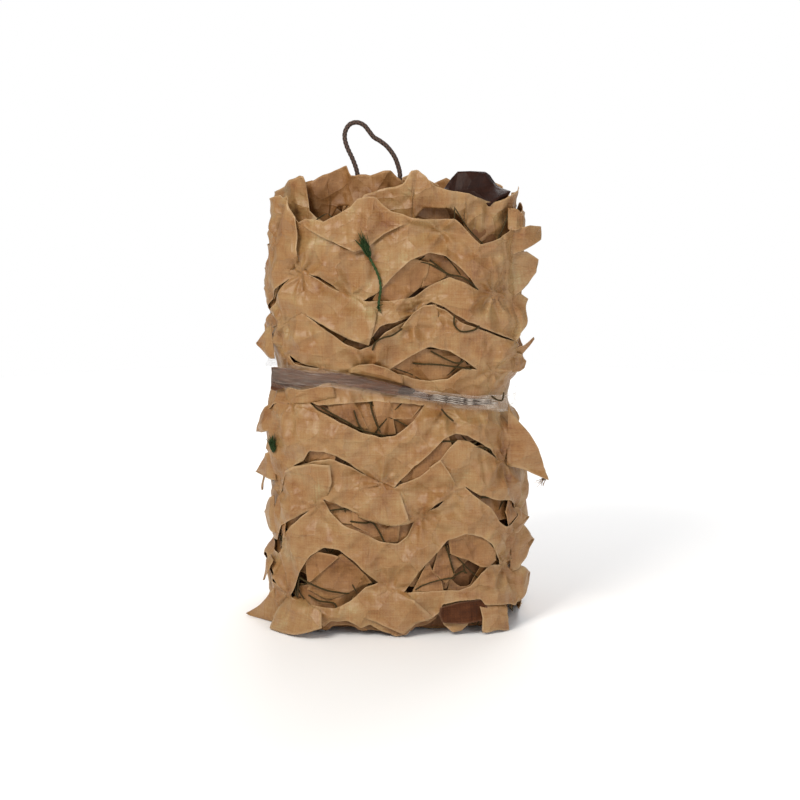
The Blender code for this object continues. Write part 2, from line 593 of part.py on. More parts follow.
def waist_film(girth, material, collection):
    """The film, a closed band: flat at the left and bunched into a thicker, narrower rope at the right."""
    bunched = 0.5 + 0.5 * np.cos(2 * math.pi * (girth - BUNCH_GIRTH) / GIRTH)
    over_leaf = (girth > WAIST_LEAF[0]) & (girth < WAIST_LEAF[1])
    base = GAP + (WAIST_LEAF_THICKNESS + GAP) * over_leaf
    gather = FILM_GATHER[1] * np.cos(girth * FILM_GATHER[0])
    half = FILM_HALF[0] + (FILM_HALF[1] - FILM_HALF[0]) * bunched + gather
    thick = FILM_THICKNESS[0] + (FILM_THICKNESS[1] - FILM_THICKNESS[0]) * bunched
    fold = FILM_FOLD[1] + FILM_FOLD[2] * np.sin(girth * FILM_FOLD[0])
    profile = [
        (base, -half), (base, half), (base + thick * 0.7, half), (base + thick, half * 0.55),
        (base + thick * fold, half * 0.05), (base + thick, -half * 0.5), (base + thick * 0.7, -half),
    ]
    loops = [pressed_surface(girth, lift, drop) for lift, drop in profile]
    return closed_loft("waist_film", np.stack(loops, axis=1), material, collection, ring=True)


# ---------------------------------------------------------------- pieces that lie on the roll


def tree_of(solid):
    """A search tree of a solid's faces."""
    mesh = solid.data
    return BVHTree.FromPolygons([v.co for v in mesh.vertices], [tuple(p.vertices) for p in mesh.polygons])


def reach_of(tree, girth, height):
    """How far out the roll's surface stands at one place, or its plain section where it's open."""
    x, y, out_x, out_y = (float(value) for value in section(girth))
    outward = Vector((out_x, out_y, 0))
    start = Vector((x, y, height)) + outward * SEARCH
    hit = tree.ray_cast(start, -outward, 2 * SEARCH)
    return SEARCH - hit[3] if hit[0] else 0.0


def laid_out(tree, girth, height, width):
    """The furthest that the surface stands out within half a width of a place."""
    steps = (-0.5, -0.25, 0.0, 0.25, 0.5)
    return max(reach_of(tree, girth + a * width, height + b * width) for a in steps for b in steps)


def off_section(girth, height, out):
    """A point that stands out from the plain section at one place."""
    x, y, out_x, out_y = (float(value) for value in section(girth))
    return Vector((x + out_x * out, y + out_y * out, height))


def smooth_line(points, count):
    """Points along a smooth curve (Catmull-Rom) through a few chosen ones, evenly spaced."""
    chosen = np.array([points[0], *points, points[-1]], float)
    fine = []
    for before, start, end, after in zip(chosen, chosen[1:], chosen[2:], chosen[3:]):
        for t in np.linspace(0, 1, 24, endpoint=False):
            bend = 2 * before - 5 * start + 4 * end - after
            twist = 3 * start - before - 3 * end + after
            fine.append(0.5 * (2 * start + (end - before) * t + bend * t**2 + twist * t**3))
    fine.append(chosen[-1])
    fine = np.array(fine)
    along = np.concatenate([[0], np.cumsum(np.linalg.norm(np.diff(fine, axis=0), axis=1))])
    wanted = np.linspace(0, along[-1], count)
    return np.stack([np.interp(wanted, along, fine[:, axis]) for axis in range(3)], axis=1)


def tube(name, points, radius, material, collection):
    """A cord: a round curve through the points, with closed ends."""
    curve = bpy.data.curves.new(name, "CURVE")
    curve.dimensions = "3D"
    curve.bevel_depth = radius
    curve.bevel_resolution = 2
    curve.use_fill_caps = True
    spline = curve.splines.new("POLY")
    spline.points.add(len(points) - 1)
    for point, place in zip(spline.points, points):
        point.co = (*place, 1.0)
    return placed(name, curve, material, collection)


def edge_rope_loop(material, collection):
    """The bight of edge rope that stands out of the top end, both its ends held between two turns."""
    return tube("edge_rope_loop", smooth_line(ROPE_ROUTE, 52), ROPE_RADIUS, material, collection)


def green_tie(tree, material, collection):
    """The twine of a tie: from its knot, up over the front, to its frayed end."""
    outs = []
    route = smooth_line([(girth, height, 0.0) for girth, height in TIE_ROUTE], 25)
    for girth, height, _ in route:
        outs.append(laid_out(tree, girth, height, 3 * TWINE_RADIUS) + TWINE_RADIUS + GAP)
    outs = np.maximum.reduce([outs, np.roll(outs, 1), np.roll(outs, -1)])
    points = [off_section(girth, height, out) for (girth, height, _), out in zip(route, outs)]
    return tube("green_tie", points, TWINE_RADIUS, material, collection)


def laid_sheet(name, tree, across, up, thickness, material, collection):
    """A patch of cloth that lies on the roll. across and up are grids of girth positions and heights."""
    inner, outer = np.zeros((*across.shape, 3)), np.zeros((*across.shape, 3))
    for place in np.ndindex(across.shape):
        girth, height = float(across[place]), float(up[place])
        out = laid_out(tree, girth, height, PATCH_CELL) + 2 * GAP
        inner[place] = off_section(girth, height, out)
        outer[place] = off_section(girth, height, out + thickness)
    return closed_loft(name, np.concatenate([inner, outer[:, ::-1]], axis=1), material, collection)


def brown_leaf_hem(tree, material, collection):
    """A brown leaf that hangs out from under the tan cloth near the foot."""
    left, right, top, bottom = HEM_LEAF
    u, v = np.meshgrid(np.linspace(0, 1, 9), np.linspace(0, 1, 6))
    across = left + (right - left) * (0.5 + (u - 0.5) * (1 - 0.22 * v))
    up = top + (bottom + 0.004 * np.abs(2 * u - 1.2) - top) * v
    return laid_sheet("brown_leaf_hem", tree, across, up, LEAF_THICKNESS, material, collection)


def brown_leaf_top(material, collection):
    """A crumpled brown leaf that stands between two turns of the roll's top end: a fluted upright sheet."""
    u, v = np.meshgrid(np.linspace(0, 1, 25), np.linspace(0, 1, 7))
    table = np.array(TOP_LEAF)
    x = table[0, 0] + (table[-1, 0] - table[0, 0]) * u
    y, low, high = (np.interp(x, table[:, 0], table[:, column]) for column in (1, 2, 3))
    turn = 2 * math.pi * TOP_LEAF_FLUTES * u
    flute = TOP_LEAF_FLUTE * np.sin(turn + 1.1 * v) * (0.35 + 0.65 * v)
    lean = TOP_LEAF_LEAN * v**2
    z = low + (high - low) * v - TOP_LEAF_WAVE * np.cos(turn) * v
    half = LEAF_THICKNESS / 2
    sides = [np.stack([x, y + flute + lean + side * half, z], axis=2) for side in (-1, 1)]
    loops = np.concatenate([sides[0], sides[1][:, ::-1]], axis=1)
    return closed_loft("brown_leaf_top", loops, material, collection)


def side_tuft(tree, material, collection):
    """The knot and cut ends of a tie: a small ridged lump that sits against the roll."""
    work = bmesh.new()
    bmesh.ops.create_icosphere(work, subdivisions=3, radius=1.0)
    girth, height = TUFT_PLACE
    x, y, out_x, out_y = (float(value) for value in section(girth))
    outward, sideways = Vector((out_x, out_y, 0)), Vector((-out_y, out_x, 0))
    for vert in work.verts:
        turn = math.atan2(vert.co.y, vert.co.x)
        ridge = 1 + 0.16 * math.cos(5 * turn + 3 * vert.co.z) + 0.1 * math.sin(7 * vert.co.z + 2 * turn)
        a, b, c = (value * size * ridge for value, size in zip(vert.co, TUFT_SIZE))
        vert.co = Vector((x, y, height)) + sideways * a + outward * b + Vector((0, 0, c))
    lowest = min(seat_gap(tree, vert.co, outward) for vert in work.verts)
    for vert in work.verts:
        vert.co += outward * (2 * GAP - lowest)
    mesh = bpy.data.meshes.new("side_tuft")
    work.to_mesh(mesh)
    work.free()
    face_outwards(mesh)
    return placed("side_tuft", mesh, material, collection)


def seat_gap(tree, point, outward):
    """How far a point stands off the roll, measured straight out; less than nothing inside it."""
    hit = tree.ray_cast(point + outward * SEARCH, -outward, 2 * SEARCH)
    return hit[3] - SEARCH if hit[0] else SEARCH


def clear_scene():
    """Take everything that is there out of the scene."""
    for old in list(bpy.data.objects):
        bpy.data.objects.remove(old, do_unlink=True)


def build():
    """Make the eight pieces of the packed net."""
    clear_scene()
    collection = bpy.data.collections.new("packed_camouflage_net")
    bpy.context.scene.collection.children.link(collection)
    tan = cloth_material("tan_leaf_cloth", 0.42, 0.25, 0.12)
    brown = cloth_material("brown_leaf_cloth", 0.045, 0.022, 0.014, roughness=0.6)
    mauve = cloth_material("faded_brown_leaf_cloth", 0.16, 0.09, 0.065)
    rope = cloth_material("brown_braided_rope", 0.065, 0.035, 0.022, roughness=0.8)
    green = cloth_material("green_twine", 0.02, 0.06, 0.03, roughness=0.7)
    film = cloth_material("clear_stretch_film", 0.72, 0.68, 0.62, roughness=0.2, alpha=0.5)
    girth = np.arange(COLUMNS) * GIRTH / COLUMNS - GIRTH / 2
    roll = closed_loft("netting_roll", roll_points(girth), tan, collection)
    tree = tree_of(roll)
    waist_leaf(girth, mauve, collection)
    waist_film(girth, film, collection)
    edge_rope_loop(rope, collection)
    brown_leaf_top(brown, collection)
    green_tie(tree, green, collection)
    side_tuft(tree, green, collection)
    brown_leaf_hem(tree, mauve, collection)


build()
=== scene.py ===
# %% [markdown]
# # A packed camouflage net
# The real thing is a string net with tan polyester cloth tied over it. The cloth is die-cut in rows of curved
# slits, so that each stretch of cloth opens into leaves. The net is wound up, pressed into a flattened roll
# and held at its waist by clear stretch film. This lesson dresses the plain solids of that roll: thin cut
# cloth in several turns, the string net under it, ties, a loop of edge rope and the film.
#
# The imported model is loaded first. It never moves, and every piece made here takes its place from it.

import math
from collections import namedtuple

import bmesh
import bpy
import numpy as np
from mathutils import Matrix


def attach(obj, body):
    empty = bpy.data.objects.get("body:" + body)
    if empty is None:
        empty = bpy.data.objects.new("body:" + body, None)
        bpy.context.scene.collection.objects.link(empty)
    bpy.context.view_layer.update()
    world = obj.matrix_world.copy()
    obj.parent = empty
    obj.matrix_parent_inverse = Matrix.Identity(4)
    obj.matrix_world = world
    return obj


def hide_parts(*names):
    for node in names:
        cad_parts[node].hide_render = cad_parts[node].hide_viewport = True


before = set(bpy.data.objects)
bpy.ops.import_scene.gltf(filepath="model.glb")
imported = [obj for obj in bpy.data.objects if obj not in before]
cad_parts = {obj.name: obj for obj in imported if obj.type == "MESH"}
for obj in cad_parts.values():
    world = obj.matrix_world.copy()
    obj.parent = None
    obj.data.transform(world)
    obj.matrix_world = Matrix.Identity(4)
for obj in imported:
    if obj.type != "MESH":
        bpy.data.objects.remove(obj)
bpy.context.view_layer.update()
print("solids:", sorted(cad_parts))

# %% [markdown]
# ## Camera, floor and light
# A product shot: a long lens a little above the roll, a pale sweep and big soft lights. The key light stands
# high at the front left, so that each leaf throws a thin shadow on the cloth below it.

# %% Camera
MM = 0.001
MIDDLE = np.array([-0.0020, -0.0001, 0.0])  # the roll's centre line on the floor
AIM = (0.0037, -0.0951, 0.2195)
DISTANCE = 1.8
ELEVATION = math.radians(10)

camera_data = bpy.data.cameras.new("camera")
camera_data.lens = 90
camera_data.sensor_width = 36
camera = bpy.data.objects.new("camera", camera_data)
camera.location = (AIM[0], AIM[1] - DISTANCE * math.cos(ELEVATION), AIM[2] + DISTANCE * math.sin(ELEVATION))
camera.rotation_euler = (math.pi / 2 - ELEVATION, 0, 0)
bpy.context.collection.objects.link(camera)
bpy.context.scene.camera = camera
bpy.context.scene.view_settings.view_transform = "Standard"


# %% Light
def linear(hex_colour):
    """A hex colour's sRGB values, turned to linear light."""
    parts = np.array([int(hex_colour[i : i + 2], 16) for i in (1, 3, 5)]) / 255
    parts = np.where(parts <= 0.04045, parts / 12.92, ((parts + 0.055) / 1.055) ** 2.4)
    return (*parts.tolist(), 1.0)


def add_node(tree, kind, inputs=(), **properties):
    """Add one node with its properties. An input that is given another node's socket is linked to it."""
    made = tree.nodes.new(kind)
    for name, value in properties.items():
        setattr(made, name, value)
    for name, value in dict(inputs).items():
        if isinstance(value, bpy.types.NodeSocket):
            tree.links.new(value, made.inputs[name])
        else:
            made.inputs[name].default_value = value
    return made


Light = namedtuple("Light", "name place size power colour")
LIGHTS = [
    Light("key", (-0.95, -1.35, 1.55), 0.8, 30.0, "#fff9f0"),
    Light("fill", (1.3, -1.7, 0.6), 1.4, 12.0, "#f8faff"),
    Light("back", (0.3, 1.6, 1.5), 1.4, 26.0, "#ffffff"),
]
for light in LIGHTS:
    lamp_data = bpy.data.lights.new(light.name, "AREA")
    lamp_data.size = light.size
    lamp_data.energy = light.power
    lamp_data.color = linear(light.colour)[:3]
    lamp = bpy.data.objects.new(light.name, lamp_data)
    lamp.location = light.place
    away = np.array(light.place) - np.array([0, 0, 0.2])
    tilt = math.acos(away[2] / np.linalg.norm(away))
    lamp.rotation_euler = (tilt, 0, math.atan2(away[1], away[0]) + math.pi / 2)
    bpy.context.collection.objects.link(lamp)

world = bpy.data.worlds.new("studio")
world.use_nodes = True
world.node_tree.nodes["Background"].inputs["Color"].default_value = linear("#ffffff")
seen = add_node(world.node_tree, "ShaderNodeLightPath").outputs["Is Camera Ray"]
strength = add_node(world.node_tree, "ShaderNodeMapRange", {"Value": seen, "To Min": 0.5, "To Max": 1.0})
world.node_tree.links.new(strength.outputs[0], world.node_tree.nodes["Background"].inputs["Strength"])
bpy.context.scene.world = world


# %% Floor
FLOOR_RADIUS = 1.5
FLOOR_SIDES = 96
floor_turn = np.linspace(0, 2 * math.pi, FLOOR_SIDES, endpoint=False)
rim_points = np.stack([np.cos(floor_turn), np.sin(floor_turn), 0 * floor_turn], axis=1) * FLOOR_RADIUS
floor_mesh = bpy.data.meshes.new("floor")
floor_mesh.from_pydata(rim_points.tolist(), [], [list(range(FLOOR_SIDES))])
floor = bpy.data.objects.new("floor", floor_mesh)
bpy.context.collection.objects.link(floor)
painted = bpy.data.materials.new("matt_white_paper")  # a studio sweep: no gloss, so no reflection of the roll
painted.use_nodes = True
paper = painted.node_tree.nodes["Principled BSDF"].inputs
paper["Base Color"].default_value = linear("#fbfbfb")
paper["Roughness"].default_value = 0.9
floor_mesh.materials.append(painted)


# %% [markdown]
# ## Making meshes
# Every new piece is a surface worked out as whole arrays: rows and columns of points, with one four-sided
# face between each four neighbours. One helper puts such arrays into a mesh, drops the points that no face
# uses, and stores a map of the flat cloth and how near each point is to a cut edge.


# %% Mesh helpers
def grid_faces(index, closed=False):
    """Four-sided faces over a grid of point numbers, row 0 on top and columns to the right, facing out. A
    closed grid joins its last column to its first."""
    right = np.roll(index, -1, axis=1) if closed else index[:, 1:]
    left = index if closed else index[:, :-1]
    return np.stack([left[1:], right[1:], right[:-1], left[:-1]], axis=-1).reshape(-1, 4)


def numbered(grid):
    """The number of each point of a grid, in the grid's own shape."""
    return np.arange(grid.size).reshape(grid.shape)


def plain_map(u, v, faces):
    """The flat cloth's map, u and v in metres, for each corner of each face."""
    return np.stack([u.ravel()[faces], v.ravel()[faces]], axis=-1)


def mesh_piece(
    name, points, faces, material, flat_map=None, edge=None, thickness=0.0, offset=-1.0, weld=False
):
    """A smooth mesh object at the origin. flat_map is u and v for each corner of each face. edge is 1 at a
    cut edge and 0 away from it. A thickness thickens the sheet inwards, or both ways with offset 0. Welding
    joins points in the same place, which closes the ends of a tube."""
    used, faces = np.unique(faces, return_inverse=True)
    faces = faces.reshape(-1, 4)
    mesh = bpy.data.meshes.new(name)
    mesh.vertices.add(len(used))
    mesh.vertices.foreach_set("co", points.reshape(-1, 3)[used].astype(np.float32).ravel())
    mesh.loops.add(faces.size)
    mesh.loops.foreach_set("vertex_index", faces.ravel().astype(np.int32))
    mesh.polygons.add(len(faces))
    mesh.polygons.foreach_set("loop_start", np.arange(0, faces.size, 4, dtype=np.int32))
    mesh.update(calc_edges=True)
    mesh.polygons.foreach_set("use_smooth", np.ones(len(faces), dtype=bool))
    if flat_map is not None:
        mesh.uv_layers.new(name="flat_cloth")
        mesh.uv_layers[0].data.foreach_set("uv", flat_map.astype(np.float32).ravel())
    near = mesh.attributes.new("cut_edge", "FLOAT", "POINT")
    if edge is not None:
        near.data.foreach_set("value", edge.ravel()[used].astype(np.float32))
    if weld:
        work = bmesh.new()
        work.from_mesh(mesh)
        bmesh.ops.remove_doubles(work, verts=work.verts, dist=1e-6)
        work.to_mesh(mesh)
        work.free()
    mesh.validate()
    mesh.materials.append(material)
    made = bpy.data.objects.new(name, mesh)
    bpy.context.collection.objects.link(made)
    if thickness:
        solidify = made.modifiers.new("thickness", "SOLIDIFY")
        solidify.thickness = thickness
        solidify.offset = offset
    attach(made, "root")
    return made


def corner_map(girths, heights, faces, around):
    """The flat cloth's map for each corner of each face, in metres; the last columns meet the first ones."""
    u, v = girths.ravel()[faces], heights.ravel()[faces]
    wide = (u.max(axis=1) - u.min(axis=1) > around / 2)[:, None]
    return np.stack([np.where(wide & (u < 0), u + around, u), v], axis=-1)


# %% [markdown]
# ## Cloth and string
# The cloth is polyester taffeta, vat-dyed tan, coated and then die-cut. The thin yarn gives it a soft satin
# gloss, the coating lets it hold creases, and the cut edges are paler where the bare yarn shows; the paler
# edge is also a painted highlight, where the edge catches the light. Its pattern follows the flat cloth, so
# it bends with every fold.

# %% Materials
def new_material(name):
    """A material with its Principled shader alone: returns its tree, that shader and the material."""
    material = bpy.data.materials.new(name)
    material.use_nodes = True
    return material.node_tree, material.node_tree.nodes["Principled BSDF"], material


def ramp_between(tree, value, colours):
    """A colour ramp over evenly spaced colours."""
    ramp = add_node(tree, "ShaderNodeValToRGB", {"Fac": value})
    ramp.color_ramp.elements[0].color = linear(colours[0])
    ramp.color_ramp.elements[1].color = linear(colours[-1])
    for index in range(1, len(colours) - 1):
        ramp.color_ramp.elements.new(index / (len(colours) - 1)).color = linear(colours[index])
    return ramp.outputs["Color"]


YARN = 0.9 * MM  # spacing of the ribs in the weave; the real ones are 0.4 mm, too fine to show
SPECK = 1.3 * MM
SLUB = 1.3 * MM  # width of an uneven yarn, twenty times as long; the real ones are half that
CRINKLE = 7 * MM
FACET = 23 * MM
DYE_LOT = 16 * MM
STAIN = 45 * MM


def cloth_material(name, colours, edge_colour, roughness, edge_wear_and_highlight=0.5, sheen=0.18, specular=0.5):
    """Woven, coated and die-cut cloth: uneven dye, ribs of yarn, flat facets with sharp creases between them,
    small crinkles and a paler cut edge, which is partly bare yarn and partly a painted highlight where the
    edge catches the light. The facets are cells, each a shallow cone, and the creases are thin ridges along
    the cells' borders."""
    tree, shader, material = new_material(name)
    flat = add_node(tree, "ShaderNodeUVMap", uv_map="flat_cloth").outputs["UV"]
    stain = add_node(tree, "ShaderNodeTexNoise", {"Vector": flat, "Scale": 1 / STAIN, "Detail": 5.0})
    speck = add_node(tree, "ShaderNodeTexNoise", {"Vector": flat, "Scale": 1 / SPECK, "Detail": 2.0})
    lot = add_node(tree, "ShaderNodeTexNoise", {"Vector": flat, "Scale": 1 / DYE_LOT, "Detail": 3.0})
    yarns = []
    for along in ((0.05 / SLUB, 1 / SLUB, 1.0), (1 / SLUB, 0.05 / SLUB, 1.0)):
        laid = add_node(tree, "ShaderNodeMapping", {"Vector": flat, "Scale": along})
        yarns.append(add_node(tree, "ShaderNodeTexNoise", {"Vector": laid.outputs["Vector"], "Scale": 1.0,
                                                           "Detail": 1.0}).outputs["Fac"])
    slubs = add_node(tree, "ShaderNodeMath", {0: yarns[0], 1: yarns[1]}).outputs[0]
    slubs = add_node(tree, "ShaderNodeMath", {0: slubs, 1: 0.46, 2: -0.46},
                     operation="MULTIPLY_ADD").outputs[0]
    uneven = add_node(tree, "ShaderNodeMath", {0: speck.outputs["Fac"], 1: 0.6, 2: -0.3},
                      operation="MULTIPLY_ADD").outputs[0]
    uneven = add_node(tree, "ShaderNodeMath", {0: uneven, 1: slubs}).outputs[0]
    mixed = add_node(tree, "ShaderNodeMath", {0: lot.outputs["Fac"], 1: stain.outputs["Fac"]}).outputs[0]
    dye = add_node(tree, "ShaderNodeMath", {0: mixed, 1: 1.15, 2: -0.65},
                   operation="MULTIPLY_ADD").outputs[0]
    dye = add_node(tree, "ShaderNodeMath", {0: dye, 1: uneven}).outputs[0]
    colour = ramp_between(tree, dye, colours)
    edge = add_node(tree, "ShaderNodeAttribute", attribute_name="cut_edge").outputs["Fac"]
    # painted highlight: near a cut edge the colour is mixed towards the paler edge colour, partly bare yarn
    # and partly the light the edge catches
    edge_wear_and_highlight_mix = add_node(tree, "ShaderNodeMath", {0: edge, 1: edge_wear_and_highlight}, operation="MULTIPLY").outputs[0]
    mixed = add_node(tree, "ShaderNodeMix", {"Factor": edge_wear_and_highlight_mix, "A": colour, "B": linear(edge_colour)},
                     data_type="RGBA")
    tree.links.new(mixed.outputs["Result"], shader.inputs["Base Color"])

    ribs = add_node(tree, "ShaderNodeTexWave", {"Vector": flat, "Scale": 2 * math.pi / (20 * YARN)},
                    wave_type="BANDS", bands_direction="X")
    crinkle = add_node(tree, "ShaderNodeTexNoise", {"Vector": flat, "Scale": 1 / CRINKLE, "Detail": 3.0,
                                                    "Roughness": 0.45, "Distortion": 0.6})
    bent = add_node(tree, "ShaderNodeMapping", {"Vector": crinkle.outputs["Color"],
                                                "Scale": (0.12 * FACET, 0.12 * FACET, 0.0)})
    cells = add_node(tree, "ShaderNodeVectorMath", {0: flat, 1: bent.outputs["Vector"]}).outputs["Vector"]
    cones = add_node(tree, "ShaderNodeTexVoronoi", {"Vector": cells, "Scale": 1 / FACET},
                     voronoi_dimensions="2D", feature="F1")
    borders = add_node(tree, "ShaderNodeTexVoronoi", {"Vector": cells, "Scale": 1 / FACET},
                       voronoi_dimensions="2D", feature="DISTANCE_TO_EDGE")
    small = add_node(tree, "ShaderNodeTexVoronoi", {"Vector": cells, "Scale": 2.4 / FACET},
                     voronoi_dimensions="2D", feature="F1")
    creases = add_node(tree, "ShaderNodeMapRange", {"Value": borders.outputs["Distance"], "From Min": 0.0,
                                                    "From Max": 0.03, "To Min": 1.0, "To Max": 0.0})
    relief = (  # what stands up, how high, and how strongly it shows
        (ribs.outputs["Fac"], 0.05 * MM, 0.35),
        (crinkle.outputs["Fac"], 0.6 * MM, 0.5),
        (cones.outputs["Distance"], 5.0 * MM, 1.0),
        (small.outputs["Distance"], 1.8 * MM, 0.5),
        (creases.outputs["Result"], 0.4 * MM, 0.3),
    )
    bumped = {}
    for height, distance, strength in relief:
        bump = add_node(tree, "ShaderNodeBump", {"Height": height, "Distance": distance,
                                                 "Strength": strength, **bumped})
        bumped = {"Normal": bump.outputs["Normal"]}
    tree.links.new(bumped["Normal"], shader.inputs["Normal"])
    shader.inputs["Roughness"].default_value = roughness
    shader.inputs["Sheen Weight"].default_value = sheen
    shader.inputs["Sheen Roughness"].default_value = 0.4
    shader.inputs["Sheen Tint"].default_value = linear(edge_colour)
    shader.inputs["Specular IOR Level"].default_value = specular
    return material


# Tan polyester taffeta: the outer turn, then the turns inside, painted darker for the shade there, since less
# light reaches them.
TAN = cloth_material(
    "tan_polyester_taffeta", ["#794a21", "#8b6033", "#946d41", "#9b794d", "#a28b60"], "#c2a37a",
    roughness=0.46,
)
# painted shade: the same tan, darker, for the turns inside the roll
SHADE_PAINTED_TAN = cloth_material(
    "shade_painted_tan_taffeta", ["#6c421c", "#81562a", "#8f6538", "#9a7449"], "#ad875a", roughness=0.55
)
# painted shade: darker still, for the bundle deep in the middle of the roll
DEEP_SHADE_PAINTED_TAN = cloth_material(
    "deep_shade_painted_tan_taffeta", ["#643c1c", "#764d28", "#845a32"], "#957046", roughness=0.72
)
# Brown polyester taffeta: a fresh leaf, and one that has faded under the film.
BROWN = cloth_material(
    "brown_polyester_taffeta", ["#1a0b05", "#27120a", "#371b0f"], "#50321f",
    roughness=0.5, sheen=0.0, specular=0.16,
)
FADED = cloth_material(
    "faded_brown_taffeta", ["#2b160b", "#4a2814", "#653c22"], "#80604a",
    roughness=0.65, sheen=0.0, specular=0.12,
)
print("cloth materials:", [m.name for m in bpy.data.materials if "taffeta" in m.name])

# %% [markdown]
# ## The roll's section
# Pressed between its neighbours on the pallet, the roll is no longer round: its section is a superellipse.
# Places on it are given the way a tailor would: girth, measured round the roll from the middle of the front,
# and height. A point's third number is how far it stands out from the plain section.

# %% Section
HALF_WIDTH = 0.121
HALF_DEPTH = 0.095
SQUARENESS = 3.4

turn = np.linspace(-math.pi, math.pi, 7201)
power = 2 / SQUARENESS
section_x = HALF_WIDTH * np.sign(np.sin(turn)) * np.abs(np.sin(turn)) ** power
section_y = -HALF_DEPTH * np.sign(np.cos(turn)) * np.abs(np.cos(turn)) ** power
girth_table = np.concatenate([[0.0], np.cumsum(np.hypot(np.diff(section_x), np.diff(section_y)))])
GIRTH = float(girth_table[-1])
girth_table = girth_table - GIRTH / 2


def short_way(distance):
    """A distance round the roll, taken the shorter way, so that it lies within half the girth of 0."""
    return (distance + GIRTH / 2) % GIRTH - GIRTH / 2


def even_girths(columns):
    """Evenly spaced places all the way round the roll."""
    return np.arange(columns) * GIRTH / columns - GIRTH / 2


def section(girth):
    """x, y and the outward direction at each distance round the roll: x and y are read from the section's
    table, and the direction is the slope of |x/a|^n + |y/b|^n."""
    wrapped = short_way(np.asarray(girth))
    x = np.interp(wrapped, girth_table, section_x)
    y = np.interp(wrapped, girth_table, section_y)
    slope_x = np.sign(x) * np.abs(x / HALF_WIDTH) ** (SQUARENESS - 1) / HALF_WIDTH
    slope_y = np.sign(y) * np.abs(y / HALF_DEPTH) ** (SQUARENESS - 1) / HALF_DEPTH
    length = np.hypot(slope_x, slope_y)
    return x, y, slope_x / length, slope_y / length


def on_roll(girth, height, out=0.0, inset=0.0):
    """Points of the roll: the section shrunk by an inset, then moved out along its own outward direction."""
    x, y, out_x, out_y = section(girth)
    wide, deep = (HALF_WIDTH - inset) / HALF_WIDTH, (HALF_DEPTH - inset) / HALF_DEPTH
    flat = np.zeros(np.broadcast(x, height, out).shape)
    points = np.stack([x * wide + out_x * out + flat, y * deep + out_y * out + flat, height + flat], axis=-1)
    return points + MIDDLE


def distances_along(points):
    """How far each point of a line is from its first one, measured along the line."""
    return np.concatenate([[0], np.cumsum(np.linalg.norm(np.diff(points, axis=0), axis=1))])


def round_roll(table, girth):
    """Heights read from a table of (girth, height) pairs in millimetres that closes round the roll."""
    pairs = np.array(table) * MM
    return np.interp(girth, pairs[:, 0], pairs[:, 1], period=GIRTH)


def near_girth(girth, place, width):
    """A smooth bump, 1 at a place round the roll: exp(-d^2 / 2w^2)."""
    away = short_way(girth - place)
    return np.exp(-(away**2) / (2 * width**2))


print("round the roll: %.0f mm" % (GIRTH / MM))

# %% [markdown]
# ## Noise and creases
# Thin polyester holds sharp creases between nearly flat facets. Three kinds of fold make that: folds that fan
# out from each tie, straight creases at many angles that fade in and out over the cloth, and single folds
# listed one by one where the cloth is pulled. All of them are numbers added to how far the cloth stands out.


# %% Noise and creases
def smooth_noise(x, y, cell, seed):
    """Noise from -1 to 1: random values on a lattice of square cells, blended between each point's four
    neighbours by 3t^2 - 2t^3. It repeats once round the roll."""
    rows, columns = 97, max(2, round(GIRTH / cell))
    table = np.random.default_rng(seed).uniform(-1, 1, (rows, columns))
    a, b = np.asarray(x) / GIRTH * columns, np.asarray(y) / cell
    i, j = np.floor(a).astype(int), np.floor(b).astype(int)
    s, t = a - i, b - j
    s, t = s * s * (3 - 2 * s), t * t * (3 - 2 * t)
    near = table[j % rows, i % columns] * (1 - s) + table[j % rows, (i + 1) % columns] * s
    far = table[(j + 1) % rows, i % columns] * (1 - s) + table[(j + 1) % rows, (i + 1) % columns] * s
    return near * (1 - t) + far * t


def facets(x, y, cell, seed):
    """Flat triangles between random heights from -1 to 1: each square of a lattice is split along one
    diagonal or the other, and the height is linear over each half. It repeats once round the roll."""
    rows, columns = 96, 2 * max(1, round(GIRTH / cell / 2))
    table = np.random.default_rng(seed).uniform(-1, 1, (rows, columns))
    a, b = np.asarray(x) / GIRTH * columns, np.asarray(y) / cell
    i, j = np.floor(a).astype(int), np.floor(b).astype(int)
    s, t = a - i, b - j
    flip = (i + j) % 2 == 1
    s = np.where(flip, 1 - s, s)
    here, there = np.where(flip, i + 1, i) % columns, np.where(flip, i, i + 1) % columns
    low, across = table[j % rows, here], table[j % rows, there]
    up, far = table[(j + 1) % rows, here], table[(j + 1) % rows, there]
    first, second = low + (across - low) * s + (far - across) * t, low + (far - up) * s + (up - low) * t
    return np.where(s > t, first, second)


def crumple(girth, height, size, seed):
    """Crumpled cloth: flat facets with sharp creases between them in four sizes, each in proportion to its
    size. The lattices lean to either side and bend a little, and each only shows in patches."""
    bend_x = 0.008 * smooth_noise(girth, height, 0.04, seed + 1)
    bend_y = 0.008 * smooth_noise(girth, height, 0.04, seed + 2)
    total = np.zeros(np.broadcast(girth, height).shape)
    for index, (cell, lean) in enumerate(((0.046, 0.5), (0.027, -0.7), (0.017, 0.3), (0.010, -0.4))):
        patch = np.clip(0.75 + 1.2 * smooth_noise(girth, height, 0.05, seed + 7 * index), 0.25, 1)
        leaning = facets(girth + bend_x + lean * height, height + bend_y, cell, seed + index)
        total = total + cell * patch * leaning
    return size * total


